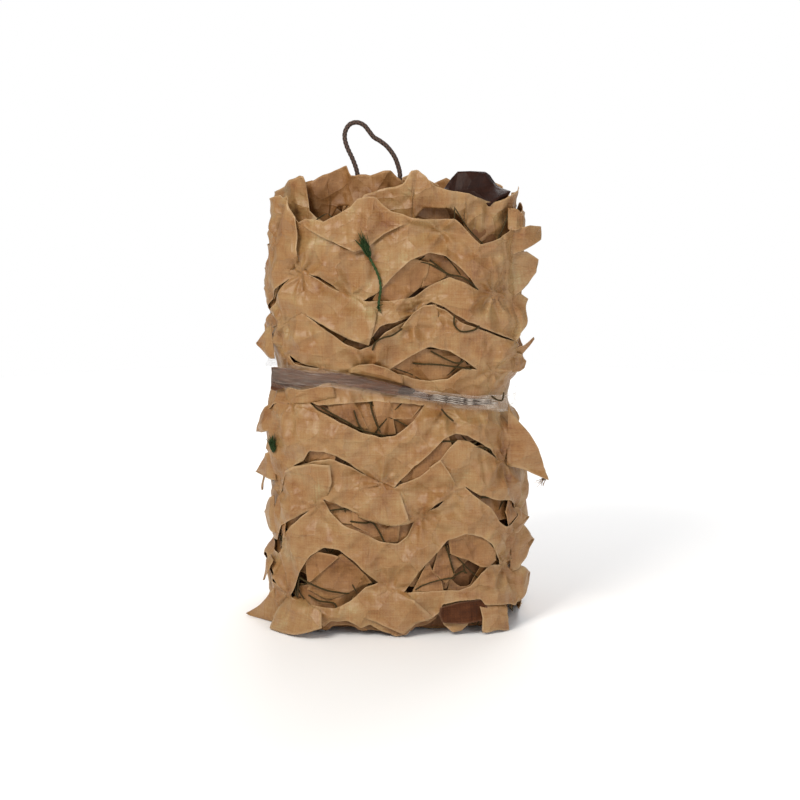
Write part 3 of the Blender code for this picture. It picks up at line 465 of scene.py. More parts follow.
def pleats(girth, height, size, seed, count=12, width=0.0022):
    """Thin raised creases: families of lines at different angles, exp(-(d/width)^2) of the distance to the
    nearest line of the family, each only where its own patch of smooth noise is high."""
    draw = np.random.default_rng(seed)
    bend = smooth_noise(girth, height, 0.06, seed + 1)
    total = np.zeros(np.broadcast(girth, height).shape)
    for index in range(count):
        length = draw.uniform(0.035, 0.085)
        angle = draw.uniform(0, math.pi)
        turns = round(GIRTH / length * math.cos(angle))
        climb = 2 * math.pi / length * math.sin(angle)
        phase = 2 * math.pi * turns * girth / GIRTH + climb * height + 6.28 * draw.random() + 1.2 * bend
        away = np.arcsin(np.abs(np.sin(phase / 2))) * length / math.pi
        patch = np.clip(2.2 * smooth_noise(girth, height, 0.04, seed + 11 * index) - 0.35, 0, 1)
        total = total + draw.choice([1, -0.7]) * patch * np.exp(-((away / width) ** 2))
    return size * total


def fan_folds(girth, height, ties, size, seed):
    """Sharp folds that run out from each tie: a raised cosine of the angle round the tie, to a power, that
    grows over the first few millimetres and dies away within about 30."""
    draw = np.random.default_rng(seed)
    total = np.zeros(np.broadcast(girth, height).shape)
    for place, level in ties:
        across = short_way(girth - place)
        up = height - level
        away = np.hypot(across, up) / 0.009
        count, phase = draw.integers(4, 8), draw.uniform(0, 6.28)
        angle = np.arctan2(up, across) + 0.25 * np.sin(away)
        ridge = (0.5 + 0.5 * np.cos(count * angle + phase)) ** 3 - 0.31
        total = total + draw.uniform(0.6, 1.2) * ridge * away * np.exp(1 - away)
    return size * total


def hand_folds(girth, height, table):
    """Single folds: exp(-(d/width)^2), d being the distance from a straight line between two places. A fold
    with a negative size is a trough."""
    total = np.zeros(np.broadcast(girth, height).shape)
    for left, left_height, right, right_height, width, size in np.array(table) * MM:
        along_g, along_h = right - left, right_height - left_height
        length = np.hypot(along_g, along_h)
        part = np.clip(((girth - left) * along_g + (height - left_height) * along_h) / length**2, 0, 1)
        away = np.hypot(girth - left - part * along_g, height - left_height - part * along_h)
        total = total + size * np.sin(math.pi * (0.12 + 0.76 * part)) * np.exp(-((away / width) ** 2))
    return total


# %% [markdown]
# ## The leaf cuts
# The cloth is slit in eight rows. A slit has a top lip, where the cloth above it ends, and a low lip, where
# the cloth below it begins, both as short lists of (girth, height) in millimetres. The lips also lift off the
# roll. The slits that show at the front are placed one by one. The rest follow the maker's repeat, with the
# unevenness of a net that has been pulled about, from a seeded random draw.

# %% Slit tables
Slit = namedtuple("Slit", "row top low top_lift low_lift skew point")


def arched(row, left, left_height, right, right_height, top_bow, low_bow, skew, top_lift, low_lift, point):
    """A slit whose lips are plain arches over its straight line: sin(pi t^p)^point, highest at skew."""
    t = np.linspace(0, 1, 17)
    bow = np.maximum(np.sin(math.pi * t ** (math.log(0.5) / math.log(skew))), 0) ** point
    line = left_height + (right_height - left_height) * t
    girths = left + (right - left) * t
    top = np.stack([girths, line + top_bow * bow], axis=1)
    low = np.stack([girths, line + low_bow * bow], axis=1)
    return Slit(row, top, low, top_lift, low_lift, skew, point)


FRONT_SLITS = [
    Slit(0, [(-84, 377), (-73, 371), (-62, 366), (-49, 360), (-34, 353.5), (-23, 357.5), (-9, 369),
             (3, 375), (13, 379)],
         [(-84, 377), (-73, 373), (-62, 368.5), (-49, 362.5), (-34, 356),
          (-23, 360), (-9, 371), (3, 376.5), (13, 379)],
         10, 0, 0.5, 0.6),
    Slit(0, [(72, 362), (84, 361), (103, 364), (116, 371), (150, 366)],
         [(72, 362), (86, 359), (103, 362), (118, 368), (150, 366)], 2, 3, 0.45, 1.0),
    arched(0, 160, 350, 220, 356, 0, 9, 0.50, 1, 7, 0.9),
    arched(0, -225, 354, -152, 350, 14, 0, 0.50, 3, 2, 1.0),
    Slit(1, [(-154, 290), (-137, 296), (-116, 315), (-97, 328)],
         [(-154, 290), (-137, 290), (-115, 308), (-97, 328)], 3, 1, 0.50, 1.0),
    Slit(1, [(-77, 333), (-66, 331), (-57, 325), (-48, 317)],
         [(-77, 333), (-68, 328), (-58, 321), (-48, 317)], 3, 1, 0.50, 1.0),
    Slit(1, [(-27, 309), (-14, 317), (1, 333), (16, 347), (32, 353), (46, 350), (60, 338), (78, 317)],
         [(-27, 309), (-3, 309), (19, 313), (32, 322), (50, 331), (62, 326), (78, 317)], 8, 3, 0.50, 0.9),
    arched(1, 108, 312, 205, 330, 4, 12, 0.70, 1, 7, 1.2),
    arched(2, -225, 280, -135, 272, -18, -4, 0.45, 6, 1, 1.2),
    Slit(2, [(-82, 298), (-62, 287), (-37, 275), (-27, 271), (-20, 276), (-12, 288), (16, 294)],
         [(-82, 298), (-62, 284), (-44, 271), (-30, 265), (-20, 269), (-8, 281), (16, 294)], 7, 1, 0.60, 1.0),
    Slit(2, [(24, 302), (34, 308), (46, 303), (60, 294), (78, 285), (99, 276), (122, 267)],
         [(24, 302), (34, 306), (46, 301), (60, 290), (78, 283), (99, 274), (122, 267)], 5, 1, 0.50, 1.0),
    arched(2, 150, 288, 225, 292, 10, 2, 0.50, 5, 1, 1.2),
    arched(3, -190, 250, -112, 256, 0, 0, 0.50, 0, 0, 1.0),
    Slit(3, [(-104, 258), (-94, 253), (-76, 249), (-57, 243), (-44, 244)],
         [(-104, 258), (-96, 250), (-76, 245), (-58, 239), (-44, 244)], 2, 0, 0.50, 1.0),
    Slit(3, [(-8, 243), (3, 251), (16, 260), (31, 268), (50, 264), (63, 256), (76, 246)],
         [(-8, 243), (4, 242), (16, 238), (34, 235), (50, 238), (63, 248), (76, 246)], 5, 0, 0.55, 1.0),
    arched(3, 108, 240, 190, 246, 6, -1, 0.60, 5, 0, 1.2),
    arched(4, -210, 214, -115, 212, -22, -6, 0.45, 5, 1, 1.4),
    Slit(4, [(-83, 218), (-69, 213), (-39, 216), (-14, 217), (10, 215), (28, 213)],
         [(-83, 218), (-69, 209), (-44, 198), (-30, 191), (-12, 185), (1, 187), (18, 200), (28, 213)],
         0, 5, 0.62, 1.0),
    arched(4, 64, 203, 112, 198, 0, 0, 0.50, 0, 0, 1.0),
    Slit(5, [(-116, 125), (-106, 144), (-91, 158), (-81, 163), (-75, 173), (-63, 173), (-52, 169), (-39, 161),
             (-21, 147)],
         [(-116, 125), (-104, 140), (-91, 155), (-81, 160), (-72, 163), (-58, 166), (-38, 158), (-21, 147)],
         7, 2, 0.38, 0.9),
    Slit(5, [(0, 138), (17, 157), (33, 171), (45, 185), (56, 189), (66, 187), (77, 180), (90, 172),
             (104, 158)],
         [(0, 138), (24, 149), (42, 164), (50, 176), (58, 183), (67, 182), (77, 175), (90, 168), (104, 158)],
         7, 2, 0.48, 1.0),
    arched(5, 122, 160, 214, 164, -18, 3, 0.50, 8, 1, 1.5),
    Slit(6, [(-186, 75), (-160, 76), (-121, 82), (-106, 100), (-91, 108), (-78, 116)],
         [(-186, 75), (-150, 66), (-125, 66), (-115, 72), (-107, 89), (-90, 105), (-78, 116)],
         3, 1, 0.60, 1.0),
    Slit(6, [(-64, 127), (-53, 123), (-35, 117), (-17, 110), (6, 104), (18, 106)],
         [(-64, 127), (-60, 116), (-47, 105), (-31, 98), (-13, 89), (4, 87), (13, 94), (18, 106)],
         8, 2, 0.60, 0.9),
    Slit(6, [(32, 117), (38, 124), (47, 128)], [(32, 117), (40, 121), (47, 128)], 2, 0, 0.50, 1.0),
    Slit(6, [(62, 141), (78, 131), (95, 125), (115, 121), (135, 106)],
         [(62, 141), (79, 126), (89, 118), (99, 103), (108, 97), (116, 98), (124, 106), (135, 106)],
         7, 2, 0.62, 1.0),
    Slit(7, [(-102, 31), (-93, 42), (-87, 58), (-76, 74), (-64, 83), (-49, 81), (-36, 71), (-24, 58),
             (-14, 50)],
         [(-102, 31), (-78, 29), (-54, 27), (-40, 33), (-26, 45), (-14, 50)], 7, 2, 0.42, 0.8),
    Slit(7, [(9, 40), (24, 62), (41, 79), (49, 90), (65, 95), (80, 92), (90, 84), (98, 72), (105, 61)],
         [(9, 40), (19, 41), (45, 42), (60, 42), (71, 45), (80, 57), (89, 63), (105, 61)], 7, 3, 0.55, 0.8),
]

# %% The maker's repeat
ROWS = 8
FILM_ROW = 3  # the film lies in the band of cloth under this row
PITCH = 118  # of the maker's repeat
SEED = 28

Kind = namedtuple("Kind", "top_bow low_bow skew top_lift low_lift point")
KINDS = [
    Kind(30, 2, 0.50, 5, 2, 0.9),
    Kind(-12, -28, 0.58, 5, 1, 1.0),
    Kind(24, 16, 0.42, 5, 2, 1.0),
    Kind(-16, 4, 0.50, 7, 1, 1.3),
    Kind(4, -20, 0.60, 4, 3, 0.9),
]
OPEN_KINDS = [kind for kind in KINDS if kind.top_bow > kind.low_bow]


def filled_row(row, hand, draw):
    """The listed slits of a row, then the repeat round the rest of the roll, all in millimetres."""
    hand = sorted(hand, key=lambda slit: slit.top[0][0])
    start, end = hand[-1].top[-1][0], hand[0].top[0][0] + GIRTH / MM
    start_height, end_height = hand[-1].top[-1][1], hand[0].top[0][1]
    count = max(1, round((end - start) / PITCH))
    cell = (end - start) / count
    made = []
    for index in range(count):
        kind = KINDS[(row * 2 + index * 3 + draw.integers(0, 2)) % len(KINDS)]
        if row in (FILM_ROW, FILM_ROW + 1) and kind.top_bow < kind.low_bow:
            kind = KINDS[0]
        margin = 13 + 4 * draw.random()
        left, right = start + index * cell + margin, start + (index + 1) * cell - margin
        along = (index + 0.5) / count
        level = start_height * (1 - along) + end_height * along
        tilt = 12 * (draw.random() - 0.5)
        scale = 0.8 + 0.4 * draw.random()
        made.append(
            arched(row, left, level - tilt, right, level + tilt, kind.top_bow * scale, kind.low_bow * scale,
                   kind.skew, kind.top_lift * scale, kind.low_lift, kind.point)
        )
    return hand + made


def outer_rows():
    """The slits of the outer turn, row by row from the top."""
    draw = np.random.default_rng(SEED)
    return [filled_row(row, [slit for slit in FRONT_SLITS if slit.row == row], draw) for row in range(ROWS)]


def repeat_rows(levels, seed):
    """The slits of a hidden turn: the maker's repeat alone, at the given heights in millimetres."""
    draw = np.random.default_rng(seed)
    count = round(GIRTH / MM / PITCH)
    cell = GIRTH / MM / count
    rows = []
    for row, level in enumerate(levels):
        slits, shift = [], draw.uniform(0, cell)
        for index in range(count):
            kind = OPEN_KINDS[draw.integers(0, len(OPEN_KINDS))]
            margin, tilt, scale = draw.uniform(7, 16), draw.uniform(-6, 6), draw.uniform(0.25, 0.55)
            left = shift + index * cell + margin
            right = shift + (index + 1) * cell - margin
            top_bow, low_bow = kind.top_bow * scale, kind.low_bow * scale
            slits.append(
                arched(row, left, level - tilt, right, level + tilt, top_bow, low_bow, kind.skew,
                       0.35 * kind.top_lift, 0.5 * kind.low_lift, kind.point)
            )
        rows.append(slits)
    return rows


def tie_places(rows):
    """Girth and height of each tie, in metres: the middle of the cloth between two slits of a row."""
    found = []
    for slits in rows:
        ordered = sorted(slits, key=lambda slit: slit.top[0][0])
        for slit, following in zip(ordered, ordered[1:] + ordered[:1]):
            right, left = slit.top[-1], following.top[0]
            between = (left[0] - right[0]) % (GIRTH / MM)
            found.append((right[0] + between / 2, (right[1] + left[1]) / 2))
    return np.array(found) * MM


OUTER_ROWS = outer_rows()
TIES = tie_places(OUTER_ROWS)
print("slits in the outer turn:", sum(len(row) for row in OUTER_ROWS), "ties:", len(TIES))

# %% [markdown]
# ## How the roll swells
# The turns underneath show through as long low swells. Each tie draws the cloth to the net in a dimple, and
# the film draws the whole roll in at its waist.

# %% Swells
Wave = namedtuple("Wave", "turns climb phase size")
WAVES = [
    Wave(3, 14.0, 0.4, 0.0011),
    Wave(5, -23.0, 2.1, 0.0010),
    Wave(8, 31.0, 4.0, 0.0009),
    Wave(11, -44.0, 1.2, 0.0008),
    Wave(14, 62.0, 5.2, 0.0006),
]
DIMPLE = 0.0045
DIMPLE_RADIUS = 0.011
FAN_FOLDS = 6
FAN_SIZE = 0.0016
FAN_RADIUS = 0.026
FAN_REACH = 0.014

BAND_HEIGHT = 0.2285  # of the film's middle at the roll's centre line
BAND_FALL = -0.115  # for each metre to the right
BAND_FALL_BACK = -0.06  # for each metre towards the back
PINCH = 0.0100
PINCH_LEAN = 0.026
PINCH_REACH = 0.021


def film_height(girth):
    """Height of the film's middle, which lies in a sloping plane."""
    x, y, _, _ = section(girth)
    return BAND_HEIGHT + BAND_FALL * x + BAND_FALL_BACK * (y + HALF_DEPTH)


def drawn_in(girth, height):
    """How far the film draws the cloth in: (a + b x) exp(-(d/reach)^2), d being the height off the film."""
    x, _, _, _ = section(girth)
    away = (height - film_height(girth)) / PINCH_REACH
    return (PINCH + PINCH_LEAN * x) * np.exp(-(away**2))


def waves(girth, height):
    """The swells of the turns underneath: cosines that go a whole number of times round the roll."""
    total = np.zeros(np.broadcast(girth, height).shape)
    for wave in WAVES:
        total = total + wave.size * np.cos(
            2 * math.pi * wave.turns * girth / GIRTH + wave.climb * height + wave.phase
        )
    return total


def tied_swell(girth, height):
    """The swells, less a dimple at each tie, with the broad folds that fan out from it."""
    dimple = np.zeros(np.broadcast(girth, height).shape)
    fan = np.zeros_like(dimple)
    for place, level in TIES:
        across = short_way(girth - place)
        up = height - level
        away = np.hypot(across, up)
        dimple = np.maximum(dimple, np.exp(-(away**2) / (2 * DIMPLE_RADIUS**2)))
        folds = np.cos(FAN_FOLDS * np.arctan2(up, across) + 9 * level / (PITCH * MM))
        fan = fan + folds * np.exp(-(((away - FAN_RADIUS) / FAN_REACH) ** 2))
    return waves(girth, height) - DIMPLE * dimple + FAN_SIZE * fan


# %% [markdown]
# ## Cut cloth
# One turn of cloth is a stack of bands, each between two rows of slits. A band is a grid whose rows follow
# its two curved edges, closer together near the lips. Two bands share their points where the cloth between
# them isn't slit, and are free of each other along a slit, so the slits are real openings with real lips. A
# lip that hangs past the opposite one is pushed out in front of it.

# %% Lips
BAND_ROWS = 21
ROW_SPOTS = np.linspace(0, 1, BAND_ROWS + 1)
ROW_SPOTS = ROW_SPOTS - 0.35 * np.sin(2 * math.pi * ROW_SPOTS) / (2 * math.pi)

MIN_BAND = 0.013
RIM_BAND = [(-150, 13), (-90, 2.5), (20, 2.5), (50, 13), (400, 13)]  # the least band under the rim
FILM_CLEAR = 0.0105
PUFF = 0.0013
LIFT_FALL = 2.2
LIP_SWELL = 0.7
LAP_CLEAR = 0.0014
OPEN_FROM = 0.0006  # a slit narrower than this is still closed
CURL = 0.0005
LIP_ROUND = 0.0010
LIP_WOBBLE = 0.0006


def lips(slits, girth, seed):
    """For one row: the two lips' heights, their lifts, and 1 inside a slit falling to 0 at its ends."""
    tops = [np.array(slit.top, float) * MM for slit in slits]
    lows = [np.array(slit.low, float) * MM for slit in slits]
    ends = np.array([(*top[0], *top[-1]) for top in tops])
    line = np.interp(girth, ends[:, [0, 2]].ravel(), ends[:, [1, 3]].ravel(), period=GIRTH)
    top, low = line.copy(), line.copy()
    top_lift, low_lift, inside = (np.zeros_like(girth) for _ in range(3))
    for slit, top_lip, low_lip in zip(slits, tops, lows):
        left, right = top_lip[0, 0], top_lip[-1, 0]
        place = (girth - left) % GIRTH + left
        along = np.clip((place - left) / (right - left), 0, 1)
        arch = np.maximum(np.sin(math.pi * along ** (math.log(0.5) / math.log(slit.skew))), 0)
        within = (along > 0) & (along < 1)
        for lip, heights in ((top_lip, top), (low_lip, low)):
            spread = [np.interp(place + step, lip[:, 0], lip[:, 1]) for step in (-LIP_ROUND, 0, LIP_ROUND)]
            heights[within] = (0.25 * spread[0] + 0.5 * spread[1] + 0.25 * spread[2])[within]
        top_lift += slit.top_lift * MM * arch**slit.point * within
        low_lift += slit.low_lift * MM * arch**slit.point * within
        inside = np.maximum(inside, np.clip(6 * arch, 0, 1) * within)
    top += LIP_WOBBLE * inside * smooth_noise(girth, 0.1, 0.006, seed)
    low += LIP_WOBBLE * inside * smooth_noise(girth, 0.2, 0.006, seed + 1)
    return top, low, top_lift, low_lift, inside


# %% Lapping bands
def read_band(heights, outs, level):
    """How far out a band stands at other heights in the same columns, by its row spacing."""
    along = np.clip((heights[0] - level) / np.maximum(heights[0] - heights[-1], 1e-6), 0, 1)
    step = np.interp(along, ROW_SPOTS, np.arange(BAND_ROWS + 1))
    first = np.clip(step.astype(int), 0, BAND_ROWS - 1)
    part = step - first
    return np.take_along_axis(outs, first, 0) * (1 - part) + np.take_along_axis(outs, first + 1, 0) * part


def lift_over(heights, outs, other_heights, other_outs, lapped, down, inside):
    """Push a lapping band out until it clears the band it covers; down runs from 0 at its root to 1 at its
    lip, and the push fades towards the root as down^1.5."""
    beyond = lapped & np.where(down[-1] > 0.5, heights < other_heights[0], heights > other_heights[-1])
    wanted = read_band(other_heights, other_outs, heights) + LAP_CLEAR * inside
    short = np.where(beyond, np.maximum(wanted - outs, 0), 0).max(axis=0)
    wide = np.concatenate([short[-4:], short, short[:4]])
    short = np.convolve(wide, np.full(9, 1 / 9), mode="valid")
    outs = outs + short * down**1.5
    return np.where(beyond, np.maximum(outs, wanted), outs)


# %% Cut cloth
def cut_cloth(girth, upper_edge, lower_edge, rows, shape, lift_share=1.0, film_row=None, limit=None, seed=1):
    """A turn of cloth as bands. Each band is (heights, outs, near an edge): arrays of a row for each row of
    points and a column for each girth. Also where each row of slits is open. Where a limit is given, the
    turn stays inside it."""
    edges, above = [], upper_edge
    film = film_height(girth)
    for row, slits in enumerate(rows):
        top, low, top_lift, low_lift, inside = lips(slits, girth, seed + 10 * row)
        least = MIN_BAND if row else round_roll(RIM_BAND, girth)
        top, low = np.minimum(top, above - least), np.minimum(low, above - least)
        if film_row is not None and row <= film_row:
            floor = film + FILM_CLEAR + (film_row - row) * MIN_BAND
            top, low = np.maximum(top, floor), np.maximum(low, floor)
        elif film_row is not None:
            ceiling = film - FILM_CLEAR - (row - film_row - 1) * MIN_BAND
            top, low = np.minimum(top, ceiling), np.minimum(low, ceiling)
        is_open = (np.abs(top - low) > OPEN_FROM) & (inside > 0)
        joined = np.where(is_open, top, (top + low) / 2)
        low = np.where(is_open, low, joined)
        edges.append((joined, low, top_lift * lift_share, low_lift * lift_share, inside, is_open))
        above = np.minimum(low, joined)
    always = np.ones(len(girth), bool)
    flat = np.zeros(len(girth))
    first = (upper_edge, upper_edge, flat, flat + 0.0015, flat + 1, always)
    last = (lower_edge, lower_edge, flat + 0.004, flat, flat + 1, always)
    edges = [first, *edges, last]
    bands = []
    for over, under in zip(edges, edges[1:]):
        upper, lower = over[1], under[0]
        down = ROW_SPOTS[:, None]
        heights = upper + (lower - upper) * down
        swell = LIP_SWELL + (1 - LIP_SWELL) * np.sin(math.pi * down)
        outs = shape(girth[None, :], heights) * swell + PUFF * np.sin(math.pi * down) * np.sign(lift_share)
        outs = outs + over[3] * (1 - down) ** LIFT_FALL + under[2] * down**LIFT_FALL
        from_top = (upper - heights) + np.where(over[5], 0, 1)
        from_low = (heights - lower) + np.where(under[5], 0, 1)
        nearest = np.minimum(from_top, from_low)
        outs = outs + CURL * np.exp(-nearest / 0.003)
        if limit is not None:
            outs = np.minimum(outs, limit(girth[None, :], heights))
        outs = outs - drawn_in(girth[None, :], heights)
        bands.append([heights, outs, np.exp(-nearest / 0.0008)])
    down = np.repeat(ROW_SPOTS[:, None], len(girth), axis=1)
    for row in range(len(rows)):
        top, low, top_lift, low_lift, inside, is_open = edges[row + 1]
        over, under = bands[row], bands[row + 1]
        lapped = is_open & (top < low)
        hang, stand = lapped & (top_lift > low_lift), lapped & (top_lift <= low_lift)
        over[1] = lift_over(over[0], over[1], under[0], under[1], hang, down, inside)
        under[1] = lift_over(under[0], under[1], over[0], over[1], stand, 1 - down, inside)
    return bands, [edge[5] for edge in edges[1:-1]]


# %% A turn's mesh
def turn_piece(name, girth, bands, openings, material, thickness, inset=0.0):
    """One mesh for a few neighbouring bands, joined wherever the row of slits between them is closed."""
    indices, count = [], 0
    for band, (heights, _, _) in enumerate(bands):
        index = count + numbered(heights)
        if band:
            closed = ~openings[band - 1]
            index[0, closed] = indices[-1][-1, closed]
        indices.append(index)
        count += heights.size
    faces = np.concatenate([grid_faces(index, closed=True) for index in indices])
    heights, outs, edge = (np.concatenate([band[part] for band in bands]) for part in range(3))
    girths = np.broadcast_to(girth, heights.shape)
    points = on_roll(girths, heights, outs, inset)
    flat_map = corner_map(girths, heights, faces, GIRTH)
    print("%s: %d faces" % (name, len(faces)))
    return mesh_piece(name, points, faces, material, flat_map, edge, thickness)


# %% [markdown]
# ## The outer turn
# The turn that everyone sees gets the most points: a column every 1.5 mm over the front and every 2.4 mm
# round the sides and back. Its upper edge is the uneven rim of the roll, its lower edge the hem it stands on.

# %% Rim and hem
RIM = [
    (-225, 384), (-190, 388), (-160, 394), (-140, 396), (-121, 400), (-112, 401), (-106, 399), (-100, 402),
    (-98, 392), (-92, 387), (-86, 378), (-80, 381), (-71, 382), (-62, 380), (-50, 386), (-38, 393),
    (-32, 400), (-24, 402), (-16, 402), (-10, 395), (-3, 390), (4, 388), (16, 384), (26, 382), (42, 382),
    (54, 382), (63, 375), (71, 366), (78, 359), (88, 361), (100, 364), (110, 369), (117, 375), (124, 384),
    (136, 387), (162, 380), (190, 390), (230, 376), (275, 396), (320, 378), (350, 398), (380, 384),
    (415, 402), (460, 380), (490, 398),
]
HEM = [
    (-235, 10), (-205, 1), (-150, 1), (-134, 8), (-124, 2), (-112, 1), (-96, 1), (-86, 3), (-78, 8),
    (-73, 6), (-69, 12), (-63, 9), (-57, 15), (-42, 16), (-36, 13), (-30, 8), (-22, 12), (-10, 5), (2, 1),
    (12, 2), (20, 13), (32, 15), (41, 22), (44, 30), (60, 33), (80, 33), (84, 27), (108, 25), (118, 21),
    (124, 25), (142, 24), (156, 6), (195, 1), (220, 14), (250, 1), (290, 1), (318, 12), (350, 1), (400, 1),
    (425, 14), (455, 1), (490, 1),
]
LEFT_TIP = (-0.172, 0.014, 0.016)  # a leaf that points out over the floor: girth, reach and width
HAND_FOLDS = [  # left, height, right, height, width, size
    (-24, 352, -52, 333, 5, 2.2), (-60, 368, -59, 330, 4, 1.8), (-50, 322, -49, 296, 4, 1.6),
    (-8, 368, -2, 316, 4, -1.2), (60, 384, 66, 322, 5, 1.4), (92, 356, 84, 314, 4, 1.5),
    (104, 330, 112, 292, 4, -1.4), (-20, 262, 8, 232, 4, 1.2), (40, 262, 96, 244, 5, 1.6),
    (-110, 230, -60, 222, 5, 1.4), (-70, 192, -30, 160, 5, 1.6), (-10, 176, 26, 188, 5, 1.4),
    (-96, 198, -100, 170, 4, 1.5), (36, 196, 88, 190, 5, 1.4), (92, 150, 116, 118, 5, 1.5),
    (-30, 140, -8, 116, 4, -1.3), (22, 130, 56, 104, 5, 1.6), (-100, 122, -70, 92, 5, 1.5),
    (-44, 92, -16, 58, 5, 1.5), (16, 84, 4, 48, 4, 1.5), (-90, 64, -112, 40, 4, 1.4),
    (98, 92, 118, 60, 5, 1.6), (-76, 24, -30, 12, 4, 1.2), (8, 30, 44, 8, 4, 1.3),
    (-36, 354, -42, 390, 3, 1.3), (-35, 356, -26, 402, 3, 1.5), (-32, 356, -8, 392, 3, 1.3),
    (-32, 352, 2, 378, 3, -1.2), (-58, 352, -84, 340, 3, 1.6), (24, 262, 30, 236, 3, 1.6),
    (30, 268, 46, 296, 3, 1.8), (34, 240, 84, 262, 3, 1.4), (-46, 176, -10, 168, 3, 1.6),
    (-30, 198, -80, 176, 3, 1.5), (18, 196, 44, 180, 3, -1.4), (60, 186, 96, 206, 3, 1.6),
    (-112, 112, -92, 60, 3, 1.6), (-10, 76, 6, 132, 3, 1.4), (56, 120, 96, 150, 3, 1.6),
    (-6, 46, -30, 22, 3, 1.5), (-96, 30, -112, 4, 3, 1.6), (-84, 28, -80, 4, 3, 1.4),
    (74, 330, 112, 352, 3, 1.5), (-20, 380, 40, 364, 3, 1.4), (64, 366, 58, 332, 3, 1.5),
    (-14, 304, 40, 311, 2, 1.5), (-14, 303, 46, 302, 2, 1.4), (-14, 302, 26, 294, 2, 1.5),
    (-14, 301, 16, 284, 2, 1.3),
]


# %% Outer turn
SIDE_TIGHT = 0.004  # the sides are wound tighter than the front
LEFT_TIGHT = 0.0035  # and the left one more so
RIM_LEAN = 0.004  # and the rim leans in


def outer_shape(girth, height):
    """How far the outer turn stands out before its lips lift: swells, creases and listed folds. Under the
    film it's pressed flat."""
    pressed = np.exp(-(((height - film_height(girth)) / 0.012) ** 4))
    _, _, out_x, _ = section(girth)
    tight = (SIDE_TIGHT + LEFT_TIGHT * (out_x < 0)) * np.abs(out_x) ** 3 * np.ones_like(height)
    lean = RIM_LEAN * (1 + near_girth(girth, -0.15, 0.04)) * np.clip((height - 0.355) / 0.05, 0, 1.3) ** 1.5
    creases = crumple(girth, height, 0.125, 101) + pleats(girth, height, 0.0020, 151)
    creases = creases + fan_folds(girth, height, TIES, 0.0040, 102)
    creases = creases + hand_folds(girth, height, HAND_FOLDS)
    return tied_swell(girth, height) * (1 - 0.6 * pressed) + creases * (1 - 0.75 * pressed) - tight - lean


def columns_at(fine, coarse, fine_half):
    """Girths of a turn's columns, one end of the roll's back to the other: fine over the front."""
    side = np.arange(fine_half, GIRTH / 2, coarse)
    front = np.arange(-fine_half + fine, fine_half, fine)
    return np.concatenate([-side[::-1], front, side])


outer_girth = columns_at(0.0015, 0.0024, 0.17)
rim = round_roll(RIM, outer_girth) + 0.0008 * smooth_noise(outer_girth, 0.3, 0.008, 60)
hem = round_roll(HEM, outer_girth)
outer_bands, openings = cut_cloth(
    outer_girth, rim, hem, OUTER_ROWS, outer_shape, lift_share=0.5, film_row=FILM_ROW, seed=40
)
tip_girth, tip_reach, tip_width = LEFT_TIP
reach = tip_reach * near_girth(outer_girth, tip_girth, tip_width)
outer_bands[-1][1] += reach * ROW_SPOTS[:, None] ** 4

CLOTH = 0.4 * MM
BANDS_EACH = 3
outer_pieces = []
for part, name in enumerate(("outer_cloth_upper", "outer_cloth_middle", "outer_cloth_lower")):
    first, last = part * BANDS_EACH, (part + 1) * BANDS_EACH
    bands, slit_rows = outer_bands[first:last], openings[first : last - 1]
    piece = turn_piece(name, outer_girth, bands, slit_rows, TAN, CLOTH)
    outer_pieces.append(piece)
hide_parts("netting_roll")

# %% [markdown]
# ## The turns underneath
# Through the open slits the eye meets the next turn. Less light reaches it, so its cloth is painted a little
# darker, as painted shade. It carries the same leaf cuts at other places, so it's made the same way, from the
# maker's repeat alone, and set in behind the outer one. A rough bundle fills the middle, where nothing can be
# told apart any more; its cloth is painted darker still, for the deeper shade.

# %% Second turn
UNDER = 0.0015  # the least room between the outer turn's face and the one under it


def beneath_outer(girth, height, inset):
    """How far out a turn at an inset may stand: just under the outer turn, which follows from 0.7 to all of
    its shape."""
    shape = outer_shape(girth, height)
    return np.minimum(shape, LIP_SWELL * shape) - UNDER + inset


SECOND_INSET = 0.0046
SECOND_LEVELS = [352, 306, 262, 226, 178, 132, 88, 44]
inner_girth = even_girths(220)
second_rows = repeat_rows(SECOND_LEVELS, 7)
HOLLOW = Slit(7, [(54, 52), (62, 62), (72, 69), (84, 64)],
              [(54, 52), (62, 44), (74, 44), (84, 64)], 1, 1, 0.5, 1.0)
beside_hollow = [slit for slit in second_rows[-1] if slit.top[0][0] > 95 or slit.top[-1][0] < 40]
second_rows[-1] = beside_hollow + [HOLLOW]
second_ties = tie_places(second_rows)


def second_shape(girth, height):
    """Swells of the turns, creases and folds at the ties of this turn."""
    creases = crumple(girth, height, 0.12, 207) + pleats(girth, height, 0.0012, 251)
    creases = creases + fan_folds(girth, height, second_ties, 0.0022, 8)
    return waves(girth, height) + creases - 0.001


top_edge = round_roll(RIM, inner_girth) - 0.012
raised = 0.008 * near_girth(inner_girth, 0.130, 0.02)
bottom_edge = np.maximum(0.004, round_roll(HEM, inner_girth) - 0.006 + raised)
second_bands, second_open = cut_cloth(
    inner_girth, top_edge, bottom_edge, second_rows, second_shape, lift_share=0.35,
    limit=lambda girth, height: beneath_outer(girth, height, SECOND_INSET), seed=9,
)
second_turn = turn_piece(
    "second_turn_cloth", inner_girth, second_bands, second_open, SHADE_PAINTED_TAN, 0.6 * MM, SECOND_INSET
)


